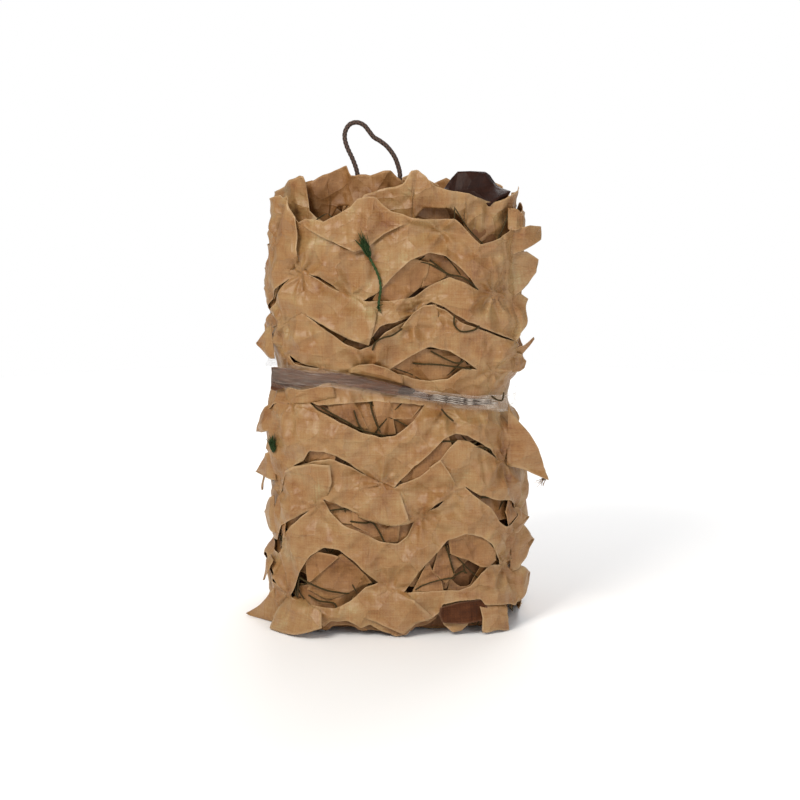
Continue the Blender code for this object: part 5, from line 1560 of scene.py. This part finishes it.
# %% Petals
Petal = namedtuple("Petal", "top low left right tucked lift stand", defaults=(0,))
PETALS = [  # over the outer turn: the four edges, the sides that are tucked under, and how far the rest lift
    Petal([(-85, 338), (-66, 328), (-43, 315), (-14, 304)], [(-81, 298), (-57, 285), (-39, 275), (-22, 270)],
          [(-84, 318)], [(-17, 288)], "TL", 2.6),
    Petal([(-110, 147), (-90, 157), (-73, 161), (-57, 160)], [(-107, 121), (-82, 120), (-61, 128)],
          [(-111, 133)], [(-56, 144)], "LB", 1.6),
    Petal([(-38, 138), (-20, 143), (-7, 142), (5, 137)], [(-44, 115), (-22, 109), (-3, 103), (15, 106)],
          [(-42, 127)], [(10, 121)], "TL", 1.8),
    Petal([(30, 156), (42, 165)], [(33, 135), (58, 138)], [], [(50, 153)], "LB", 1.8),
    Petal([(-38, 35), (-17, 42), (-2, 44), (11, 41)], [(-35, 20), (-13, 14), (9, 4), (20, 13), (36, 18)],
          [], [(24, 30)], "TL", 2.2),
    Petal([(-108, 28), (-95, 32), (-84, 31)], [(-113, 1), (-96, 1), (-83, 3), (-62, 12)],
          [(-113, 12)], [(-63, 27)], "T", 2.0, 9),
    Petal([(-102, 400), (-88, 383)], [(-124, 306), (-88, 343)], [(-122, 351)], [(-87, 365)], "LB", 1.2),
    Petal([(-108, 230), (-86, 226), (-71, 230), (-59, 236)], [(-103, 212), (-78, 215), (-53, 221)],
          [], [(-55, 230)], "LRB", 0.6),
    Petal([(-41, 247), (-30, 252), (-19, 253), (-7, 249), (8, 240)], [(-41, 244), (-22, 241), (8, 234)],
          [], [], "LRB", 0.6),
    Petal([(112, 390), (119, 389), (125, 381)], [(112, 370), (116, 370), (121, 372)], [], [(124, 375)], "L",
          1, 4),
    Petal([(116, 371), (126, 374), (138, 372)], [(114, 346), (124, 352), (136, 360)], [], [(140, 367)], "L",
          1, 15),
    Petal([(118, 350), (128, 350), (138, 342)], [(118, 306), (126, 316), (136, 330)], [], [(140, 337)], "L",
          1, 15),
    Petal([(118, 313), (126, 312), (134, 306)], [(116, 266), (119, 276), (128, 290)], [], [(132, 299)], "L",
          1, 8),
    Petal([(118, 262), (126, 266), (134, 271)], [(118, 252), (126, 258), (135, 269)], [], [], "L", 1, 11),
    Petal([(116, 259), (124, 256), (132, 249)], [(116, 240), (122, 241), (128, 243)], [], [(131, 246)], "L",
          1, 6),
    Petal([(116, 210), (126, 184), (135, 147)], [(114, 154), (124, 149), (134, 138)], [(115, 180)], [], "L",
          1, 26),
    Petal([(18, 299), (27, 305), (39, 306)], [(4, 281), (22, 283), (42, 283)], [(10, 290)], [(41, 294)],
          "BR", 1.6),
]
UNDER_PETALS = [  # between the outer turn and the second one, where they show in the open slits
    Petal([(-19, 310), (-1, 339), (15, 348), (32, 343)], [(-14, 305), (0, 307), (13, 312)], [],
          [(30, 332), (24, 321)], "", 1.4),
    Petal([(31, 344), (38, 342), (47, 335)], [(25, 321), (36, 323), (47, 331)], [], [], "", 0.8),
    Petal([(-65, 217), (-38, 219)], [(-38, 196), (-23, 192)], [(-56, 206)], [(-30, 207)], "", 1.2),
    Petal([(-38, 221), (-19, 223)], [(-27, 186), (-11, 185)], [], [], "", 0.6),
    Petal([(-21, 225), (-5, 227)], [(-11, 185), (2, 188)], [], [], "", 1.0),
    Petal([(-8, 221), (6, 218), (27, 216)], [(-1, 201), (16, 201)], [(-2, 210)], [(24, 210)], "", 1.4),
    Petal([(-76, 172), (-65, 175), (-52, 170)], [(-79, 157), (-65, 156), (-54, 158)], [], [], "", 0.8),
    Petal([(-60, 127), (-40, 120)], [(-47, 105), (-34, 105)], [(-57, 116)], [], "", 0.8),
    Petal([(-38, 118), (-16, 111), (6, 105)], [(-38, 105), (-7, 86), (4, 88)], [], [], "", 1.2),
    Petal([(4, 148), (30, 172), (48, 190)], [(10, 138), (36, 156), (54, 174)], [], [], "", 1.6),
    Petal([(-156, 298), (-134, 304), (-108, 326)], [(-150, 276), (-130, 282), (-106, 304)], [], [], "", 0.8),
    Petal([(-136, 86), (-118, 94), (-100, 106)], [(-140, 64), (-122, 62), (-106, 74)], [], [], "", 0.8),
    Petal([(109, 123), (139, 113)], [(113, 94), (124, 92)], [(103, 112)], [(146, 100)], "", 1.8),
    Petal([(-81, 69), (-70, 79), (-49, 75)], [(-79, 47), (-76, 50)], [(-81, 58)], [(-62, 63)], "", 1.4),
    Petal([(-74, 55), (-47, 78), (-25, 56)], [(-81, 41), (-59, 33), (-20, 49)], [], [], "", 0.8),
    Petal([(50, 90), (66, 97), (82, 92), (97, 75)], [(52, 76), (68, 70), (80, 63), (89, 62)], [],
          [(96, 67)], "", 2.4),
    Petal([(42, 82), (50, 84)], [(35, 60), (48, 48), (57, 57)], [], [(51, 71)], "", 1.2),
    Petal([(31, 71), (36, 60), (44, 50)], [(17, 41), (33, 41), (46, 41)], [], [], "", 0.8),
]
PETAL_ROWS, PETAL_COLUMNS = 15, 19


# %% Petal shapes
def along_line(points, part):
    """Places along a bent line, at parts of its length."""
    points = np.array(points, float) * MM
    length = distances_along(points)
    return np.stack([np.interp(part * length[-1], length, points[:, axis]) for axis in (0, 1)], axis=-1)


def petal_grid(petal, base, under):
    """A Coons patch between four lines: (1-v) top(u) + v low(u) + (1-u) left(v) + u right(v), less the blend
    of its corners. It stands at the base, with exp(-d/0.12) of the lift near a free side, and goes down to
    the under surface at a tucked side."""
    u, v = np.linspace(0, 1, PETAL_COLUMNS), np.linspace(0, 1, PETAL_ROWS)
    top, low = along_line(petal.top, u)[None], along_line(petal.low, u)[None]
    left = along_line([petal.top[0], *petal.left, petal.low[0]], v)[:, None]
    right = along_line([petal.top[-1], *petal.right, petal.low[-1]], v)[:, None]
    u, v = u[None, :, None], v[:, None, None]
    top_corners = (1 - u) * top[:, :1] + u * top[:, -1:]
    low_corners = (1 - u) * low[:, :1] + u * low[:, -1:]
    corners = (1 - v) * top_corners + v * low_corners
    place = (1 - v) * top + v * low + (1 - u) * left + u * right - corners
    girth, height = place[..., 0], np.maximum(place[..., 1], 0.0008)
    sides = {"T": v[..., 0], "B": 1 - v[..., 0], "L": u[..., 0], "R": 1 - u[..., 0]}
    tuck, free, edge = (np.zeros(girth.shape) for _ in range(3))
    rise = np.ones(girth.shape)
    for side, away in sides.items():
        if side in petal.tucked:
            tuck = np.maximum(tuck, np.clip(1 - away / 0.3, 0, 1))
            rise = np.minimum(rise, away)
        else:
            free = np.maximum(free, np.exp(-away / 0.12))
            edge = np.maximum(edge, away < 0.01)
    out = base(girth, height) + petal.lift * MM * (0.25 + 0.75 * free) + petal.stand * MM * rise
    out = out + crumple(girth, height, 0.08, 900 + int(abs(petal.top[0][0]))) * np.minimum(rise * 4, 1)
    return girth, height, out * (1 - tuck) + (under(girth, height) - TUCK) * tuck, edge * (tuck < 0.5)


def petal_piece(name, petals, base, under, material):
    """Many petals in one mesh."""
    grids = [petal_grid(petal, base, under) for petal in petals]
    girths, heights, outs, edges = (np.stack([grid[part] for grid in grids]) for part in range(4))
    faces = patch_faces(girths)
    flat_map = plain_map(girths, heights, faces)
    piece = mesh_piece(name, on_roll(girths, heights, outs), faces, material, flat_map, edges, 0.5 * MM, 0.0)
    return piece


def on_outer(girth, height):
    """The widened surface of the outer turn."""
    return np.maximum(read_map(draped_surface, girth, height), read_map(surface, girth, height))


def between_turns(girth, height):
    """Just under the outer turn's face and over the second turn."""
    return beneath_outer(girth, height, 0.0) + 0.0005 - drawn_in(girth, height)


outer_petals = petal_piece("outer_petals", PETALS, on_outer, lambda g, h: read_map(surface, g, h), TAN)
under_petals = petal_piece("petals_between_turns", UNDER_PETALS, between_turns, between_turns, SHADE_PAINTED_TAN)

# %% Slack strings
SLACK_IN = [  # strings that show in the open slits
    [(-67, 212), (-44, 201), (-29, 192), (-7, 186)], [(-22, 219), (-19, 206), (-12, 189)],
    [(-36, 210), (-32, 198), (-27, 191)], [(15, 346), (32, 342), (49, 333), (62, 330), (77, 318)],
    [(32, 346), (41, 339), (49, 332)], [(33, 264), (46, 257), (56, 253), (63, 255)],
    [(16, 252), (42, 251), (71, 247)], [(39, 181), (49, 182), (60, 180)],
    [(71, 185), (76, 181), (71, 177), (80, 174), (89, 172), (99, 160)],
    [(-94, 54), (-70, 46), (-56, 42), (-40, 40)], [(-79, 37), (-68, 33), (-54, 31), (-51, 23)],
    [(-96, 51), (-93, 33)], [(-89, 52), (-91, 32)], [(-119, 88), (-126, 80), (-114, 73)],
    [(-111, 93), (-107, 80)], [(-117, 87), (-112, 74)], [(-40, 108), (-26, 106), (-18, 105), (-8, 87)],
    [(-59, 116), (-49, 118), (-40, 118)], [(48, 84), (51, 73), (56, 57)], [(56, 55), (64, 59), (68, 57)],
    [(64, 66), (66, 57)], [(57, 53), (42, 52), (29, 48), (19, 42)], [(79, 128), (91, 127), (111, 122)],
]
SLACK_OVER = [  # strings that lie on the cloth
    [(54, 297), (54, 288), (60, 282), (71, 283), (76, 287)],
    [(-19, 265), (-16, 273), (-9, 277), (-1, 279), (8, 285)],
    [(43, 211), (48, 205), (54, 200)], [(91, 221), (97, 217), (104, 216), (106, 223)],
]
SLACK_RADIUS = 0.85 * MM


def slack_paths(table, out_of, steps=40):
    """Paths along smooth lines of girths and heights, at the out that a function gives there."""
    lines = np.array([smooth_line(np.array(line, float) * MM, steps) for line in table])
    return on_roll(lines[..., 0], lines[..., 1], out_of(lines[..., 0], lines[..., 1]))


slack_in = slack_paths(SLACK_IN, lambda g, h: between_turns(g, h) + 0.0014)
slack_over = slack_paths(SLACK_OVER, lambda g, h: on_outer(g, h) + 0.5 * SLACK_RADIUS)
slack = tubes("slack_strings", np.concatenate([slack_in, slack_over]), SLACK_RADIUS, NET_STRING, 6)

# %% [markdown]
# ## The waist
# Clear stretch film is wound round the waist; two turns of it are made. It lies flat at the left, and towards
# the right it has roped up into a whitish bunch. Under it a strip of faded brown cloth shows through.

# %% Waist strip
WAIST_STRIP = [  # girth, low edge, top edge
    (-128, 223, 243), (-119, 223, 244.5), (-106, 227, 245.5), (-93, 229, 245.8), (-84, 230, 244),
    (-73, 231.5, 242.5), (-64, 234, 242.5), (-55.5, 235, 243.9), (-48, 233.5, 243.4), (-41, 231.8, 242),
    (-30, 230, 240), (-22, 228.3, 237.5), (-8, 225.5, 234.8), (3, 223.2, 232.5), (14, 222, 230),
    (24, 220.5, 226.5), (31, 219.6, 224), (40, 217.6, 221.5), (55, 215.5, 219), (71, 213.4, 217),
    (87.5, 212.4, 215.5), (98, 211.5, 213),
]
WAIST_FOLD = [(0, 226, 231), (6, 223.5, 232), (12, 223, 231.5), (19, 224.5, 228.5)]
WAIST_CAP = 0.0040  # taut film doesn't follow the lips that stand out further than this
DRAWN_OUT = (0.4, 3)  # scale of the strip's map along and across, so that its dye looks pulled lengthwise


def waist_surface(girth, height, lift):
    """Points over the pressed cloth at the waist, a lift off it."""
    out = np.minimum(on_outer(girth, height), WAIST_CAP - drawn_in(girth, height))
    return on_roll(girth, height, out + lift)


def waist_strip(name, table, seed, columns, rows=15, material=FADED):
    """A strip of cloth between two edges given by a table, with long low folds."""
    table = np.array(table) * MM
    girth = np.linspace(table[0, 0], table[-1, 0], columns)[None, :] + np.zeros((rows, 1))
    v = np.linspace(1, 0, rows)[:, None]
    low, top = (np.interp(girth, table[:, 0], table[:, column]) for column in (1, 2))
    height = low + (top - low) * v + 0.0006 * smooth_noise(girth, v * 0.01, 0.007, seed)
    lift = 0.0005 + 0.0008 * (0.5 + 0.5 * smooth_noise(girth * 0.3, height, 0.0035, seed + 1))
    points = waist_surface(girth, height, lift)
    faces = grid_faces(numbered(girth))
    flat_map = plain_map(DRAWN_OUT[0] * girth, DRAWN_OUT[1] * height, faces)
    edge = np.broadcast_to((v > 0.97) | (v < 0.03), girth.shape).astype(float)
    piece = mesh_piece(name, points, faces, material, flat_map, edge, 0.4 * MM)
    return piece


strip = waist_strip("waist_brown_strip", WAIST_STRIP, 71, 210)
dark_fold = waist_strip("waist_dark_fold", WAIST_FOLD, 78, 16, 9, BROWN)
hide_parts("waist_leaf")


# %% Film material
def film_material():
    """Clear polyethylene film: glossy, with thin whitish streaks painted on as highlights, and milky where
    it's roped up into many layers."""
    tree, shader, material = new_material("clear_polyethylene_stretch_film")
    flat = add_node(tree, "ShaderNodeUVMap", uv_map="flat_cloth").outputs["UV"]
    stretched = add_node(tree, "ShaderNodeMapping", {"Vector": flat, "Scale": (60.0, 650.0, 1.0)})
    streaks = add_node(tree, "ShaderNodeTexNoise", {"Vector": stretched.outputs["Vector"], "Scale": 1.0,
                                                    "Detail": 4.0})
    milky = add_node(tree, "ShaderNodeAttribute", attribute_name="cut_edge").outputs["Fac"]
    # painted highlight: whitish streaks make the film more opaque where its noise is high
    painted_highlight_streaks = add_node(tree, "ShaderNodeMapRange", {"Value": streaks.outputs["Fac"], "From Min": 0.5,
                                                    "From Max": 0.68, "To Min": 0.2, "To Max": 1.0})
    milky_and_painted_highlights = add_node(tree, "ShaderNodeMath", {0: milky, 1: painted_highlight_streaks.outputs["Result"]}, operation="MULTIPLY")
    alpha = add_node(tree, "ShaderNodeMath", {0: milky_and_painted_highlights.outputs[0], 1: 0.03})
    tree.links.new(alpha.outputs[0], shader.inputs["Alpha"])
    bump = add_node(tree, "ShaderNodeBump", {"Height": streaks.outputs["Fac"], "Distance": 0.6 * MM})
    tree.links.new(bump.outputs["Normal"], shader.inputs["Normal"])
    shader.inputs["Base Color"].default_value = linear("#d8cdc1")
    shader.inputs["Roughness"].default_value = 0.2
    shader.inputs["IOR"].default_value = 1.5
    return material


def roped_film_material():
    """The same film, roped up: many layers together look white, with dark brown patches painted on for the
    shade in the gaps between the strands.
    """
    tree, shader, material = new_material("roped_polyethylene_film")
    flat = add_node(tree, "ShaderNodeUVMap", uv_map="flat_cloth").outputs["UV"]
    bands = add_node(tree, "ShaderNodeTexNoise", {"Vector": flat, "Scale": 120.0, "Detail": 2.0})
    # painted shade: the darkest colours stand for the shade between the strands
    colours = ["#2f2117", "#2f2117", "#3d2c20", "#cdc1b4", "#ece4da", "#ece4da"]
    tree.links.new(ramp_between(tree, bands.outputs["Fac"], colours), shader.inputs["Base Color"])
    shader.inputs["Roughness"].default_value = 0.25
    shader.inputs["Alpha"].default_value = 0.65
    return material


FILM = film_material()
ROPED_FILM = roped_film_material()

# %% Stretch film
FILM_EDGES = [  # girth, low and top edge off the film's middle, how milky
    (-225, -9, 6, 0.20), (-160, -9, 1, 0.10), (-124, -12, 2, 0.10), (-108, -12, 9, 0.12), (-57, -5, 13, 0.10),
    (-21, -7, 8, 0.04), (8, -8, 3.5, 0.06), (24, -8, 3.5, 0.18), (44, -9, 2, 0.24), (79, -11, 2, 0.28),
    (100, -12, 5, 0.36), (118, -10, 6, 0.45), (135, -9, 6, 0.40), (170, -8, 8, 0.26), (260, -8, 7, 0.22),
]
ROPED_EDGES = [  # girth, low edge, top edge
    (30, 219, 224.5), (40, 217.6, 224.5), (55, 215, 222), (71, 213.4, 219.6), (88, 212.4, 217.8),
    (102, 211.5, 214.5),
]


def film_turn(name, lift, narrow, ridge_size, seed, columns=420, rows=15):
    """One turn of film between two edges read from the table, with ridges that run along it, noise stretched
    12 times along the girth, which are taller to the right of the middle, where it's roped up."""
    girth = even_girths(columns)
    table = np.array(FILM_EDGES) * (MM, MM, MM, 1)
    low, top, milky = (np.interp(girth, table[:, 0], table[:, column], period=GIRTH) for column in (1, 2, 3))
    v = np.linspace(1, 0, rows)[:, None]
    low = low * narrow + 0.0016 * smooth_noise(girth, seed * 0.01, 0.022, seed)
    top = top * narrow + 0.0016 * smooth_noise(girth, seed * 0.02, 0.022, seed + 1)
    drop = low + (top - low) * v
    girths = np.broadcast_to(girth, drop.shape)
    height = film_height(girth) + drop
    ridge = (1 - np.abs(smooth_noise(girths * 0.3, drop, 0.0030, seed + 2))) * (1 - (2 * v - 1) ** 4)
    points = waist_surface(girths, height, lift + ridge_size * (0.4 + milky) * ridge)
    faces = grid_faces(numbered(girths), closed=True)
    flat_map = corner_map(girths, drop, faces, GIRTH)
    hem = 0.07 * ((v > 0.96) | (v < 0.04))
    piece = mesh_piece(name, points, faces, FILM, flat_map, np.broadcast_to(milky, girths.shape) + hem)
    return piece


def film_rope(name, table, strands, seed, columns=120):
    """The roped-up film: strands side by side between two edges, that swell and shrink along their way."""
    table = np.array(table) * MM
    girth = np.linspace(table[0, 0], table[-1, 0], columns)
    low, top = (np.interp(girth, table[:, 0], table[:, column]) for column in (1, 2))
    paths = []
    for strand in range(strands):
        level = low + (top - low) * (strand + 0.5) / strands
        level = level + 0.0006 * smooth_noise(girth, strand * 0.1, 0.012, seed + strand)
        paths.append(waist_surface(girth, level, 0.0030 + 0.0006 * (strand % 2)))
    ends = np.sin(math.pi * np.linspace(0.02, 0.98, columns)) ** 0.4
    rough = [smooth_noise(girth, 0.1 + strand, 0.005, seed + 9 + strand) for strand in range(strands)]
    radii = (top - low) / strands * 0.55 * ends * (1 + 0.35 * np.array(rough))
    piece = tubes(name, np.array(paths), radii, ROPED_FILM, 8)
    return piece


film_turns = [
    film_turn("stretch_film_inner", lift=0.0018, narrow=1.0, ridge_size=0.0007, seed=81),
    film_turn("stretch_film_middle", lift=0.0023, narrow=0.8, ridge_size=0.0009, seed=84),
]
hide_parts("waist_film")
film_bunch = film_rope("stretch_film_roped", ROPED_EDGES, strands=4, seed=87)

# %% [markdown]
# ## The brown leaves
# Some of the net's leaves are brown. One stands crumpled at the top right, where it has been pushed up
# between two turns. Another hangs out under the tan cloth near the foot.

# %% Brown leaf at the top
BROWN_FACETS = np.array([  # rows from the back edge over the crown and its brim to the tucked root: x, y, z
    [(47, -36, 400), (54, -36, 412), (59, -36, 419), (69, -36, 420),
     (80, -36, 419), (86, -35, 415), (91, -33, 404)],
    [(45, -47, 405), (52, -47, 415), (57, -48, 420.7), (69, -49, 421.2),
     (82, -48, 420.7), (88, -46, 418), (93, -42, 408)],
    [(43, -53, 404), (50, -54, 405), (55, -58, 404), (68, -56, 406),
     (82, -55, 408), (90, -52, 408), (96, -47, 406)],
    [(43, -56, 403), (50, -60, 402), (60, -63, 402), (73, -66, 398),
     (86, -69, 393), (95, -62, 399), (104, -53, 403)],
    [(46, -50, 396), (52, -52, 396), (60, -54, 395), (72, -56, 383),
     (84, -57, 384), (90, -54, 386), (94, -50, 388)],
]) * MM


def brown_leaf(name, fine=9):
    """A leaf pushed up into a flat crown with a brim: flat facets between a few places, and small creases."""
    rows, columns = BROWN_FACETS.shape[:2]
    spots = (np.linspace(0, count - 1, (count - 1) * fine + 1) for count in (rows, columns))
    v, u = np.meshgrid(*spots, indexing="ij")
    j, i = np.minimum(v.astype(int), rows - 2), np.minimum(u.astype(int), columns - 2)
    t, s = (v - j)[..., None], (u - i)[..., None]
    near = BROWN_FACETS[j, i] * (1 - s) + BROWN_FACETS[j, i + 1] * s
    far = BROWN_FACETS[j + 1, i] * (1 - s) + BROWN_FACETS[j + 1, i + 1] * s
    points = near * (1 - t) + far * t + MIDDLE
    creases = crumple(u * 0.008, v * 0.011, 0.22, 600)[..., None]
    points = points + creases * (0.3, -1.0, 0.2)
    faces = grid_faces(numbered(u))
    flat_map = plain_map(u * 0.010, -v * 0.013, faces)
    edge = (v < 0.01).astype(float)
    piece = mesh_piece(name, points, faces, BROWN, flat_map, edge, 0.5 * MM, 0.0)
    return piece


brown_top = brown_leaf("brown_leaf_at_top")
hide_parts("brown_leaf_top")


# %% Leaves at the foot
FOOT_LEAVES = [  # under the raised hem at the right
    Petal([(38, 30), (60, 32), (78, 32)], [(46, 10), (54, 3), (62, 4), (68, 9)], [(41, 19)], [(72, 20)], "",
          1.0),
    Petal([(78, 34), (94, 32), (106, 30)], [(80, 2), (95, 3), (106, 0)], [(81, 16)], [(105, 14)], "T", 1.0,
          7),
]


def under_hem(girth, height):
    """The second turn's face near the hem."""
    return np.clip(beneath_outer(girth, height, 0.0), -0.003, 0.004) - 0.0005


foot_leaves = petal_piece("leaves_under_the_hem", FOOT_LEAVES, under_hem, under_hem, TAN)
HEM_PATCH = Petal([(42, 27), (60, 31), (86, 33)], [(44, 13), (60, 12), (84, 12)], [(41, 20)], [(86, 22)],
                  "", 1.4)
hem_leaf = petal_piece("brown_leaf_at_foot", [HEM_PATCH], lambda g, h: under_hem(g, h) + 0.0036, under_hem,
                       FADED)
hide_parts("brown_leaf_hem")

# %% [markdown]
# ## Frayed ends
# Cut twine and torn cloth open into small brushes. At the left, under the waist, the ends of a tie stick out,
# and the pointed leaf at the right has torn at its tip. The function that made the green tie's frayed end
# makes both.

# %% Side tuft
tuft_girth, tuft_height = np.array([-0.1165]), np.array([0.166])
tuft_root = on_roll(tuft_girth, tuft_height, read_map(surface, tuft_girth, tuft_height) + 0.001)[0]
side_knot = frayed("side_tie_tuft", tuft_root, (-0.05, -0.3, 1.0), length=0.016, spread=0.2,
                   count=90, radius=0.6 * MM, material=GREEN, seed=9)
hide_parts("side_tuft")

# %% Torn tip
tip_girth, tip_height = np.array([0.1345]), np.array([0.1425])
tip = on_roll(tip_girth, tip_height, on_outer(tip_girth, tip_height) + 0.0262)[0]
torn = frayed("torn_leaf_tip", tip, (-0.5, 0.0, -0.5), length=0.012, spread=0.35,
              count=30, radius=0.3 * MM, material=TAN, seed=12)

# %% [markdown]
# ## Cut sizes
# The cut sheets say how large they were when flat: each turn is as long as the way round the roll, and its
# area is what is left between the cuts.

# %% Sheets
Sheet = namedtuple("Sheet", "piece held rests_on with_pieces stretch flat", defaults=((1, 1), None))
SHEETS = [  # stretch is the scale of the flat map; flat is the cut's size where the map's box isn't it
    Sheet(outer_pieces[0], "gathered", ["second_turn_cloth"], [outer_petals]),
    Sheet(outer_pieces[1], "gathered", ["second_turn_cloth"], [back_leaves]),
    Sheet(outer_pieces[2], "gathered", ["second_turn_cloth"], [side_leaves, torn]),
    Sheet(second_turn, "gathered", ["turns_inside"], [under_petals, foot_leaves]),
    Sheet(collars[0], "gathered", ["second_turn_cloth"], []),
    Sheet(collars[1], "gathered", ["outer_collar_cloth"], []),
    Sheet(collars[2], "gathered", ["turns_inside"], []),
    Sheet(top_spiral, "gathered", ["turns_inside"], []),
    Sheet(foot_spiral, "gathered", ["turns_inside"], []),
    Sheet(strip, "stretched", ["outer_cloth_middle"], [dark_fold], DRAWN_OUT, (0.232, 0.020)),
    Sheet(film_turns[0], "stretched", ["waist_brown_strip", "outer_cloth_middle"], [film_bunch]),
    Sheet(film_turns[1], "stretched", ["stretch_film_inner"], []),
    Sheet(brown_top, "folded", ["outer_collar_cloth"], []),
    Sheet(hem_leaf, "laid", ["second_turn_cloth"], []),
]


def cut_size(piece, stretch):
    """Width, length and area of a piece's flat map, which is the cloth as it was cut, in metres."""
    corners = np.zeros(2 * len(piece.data.loops), np.float32)
    piece.data.uv_layers["flat_cloth"].data.foreach_get("uv", corners)
    corners = corners.reshape(-1, 4, 2).astype(float) / stretch
    one, other = corners[:, 2] - corners[:, 0], corners[:, 3] - corners[:, 1]
    area = 0.5 * np.abs(one[:, 0] * other[:, 1] - one[:, 1] * other[:, 0]).sum()
    return np.ptp(corners.reshape(-1, 2), axis=0), float(area)


for sheet in SHEETS:
    flat, area = cut_size(sheet.piece, sheet.stretch)
    width, length = sheet.flat or (float(flat[0]), float(flat[1]))
    sizes = (sheet.piece.name, width / MM, length / MM, area * 1e4)
    print("%s: cut %.0f by %.0f mm, %.1f square centimetres" % sizes)
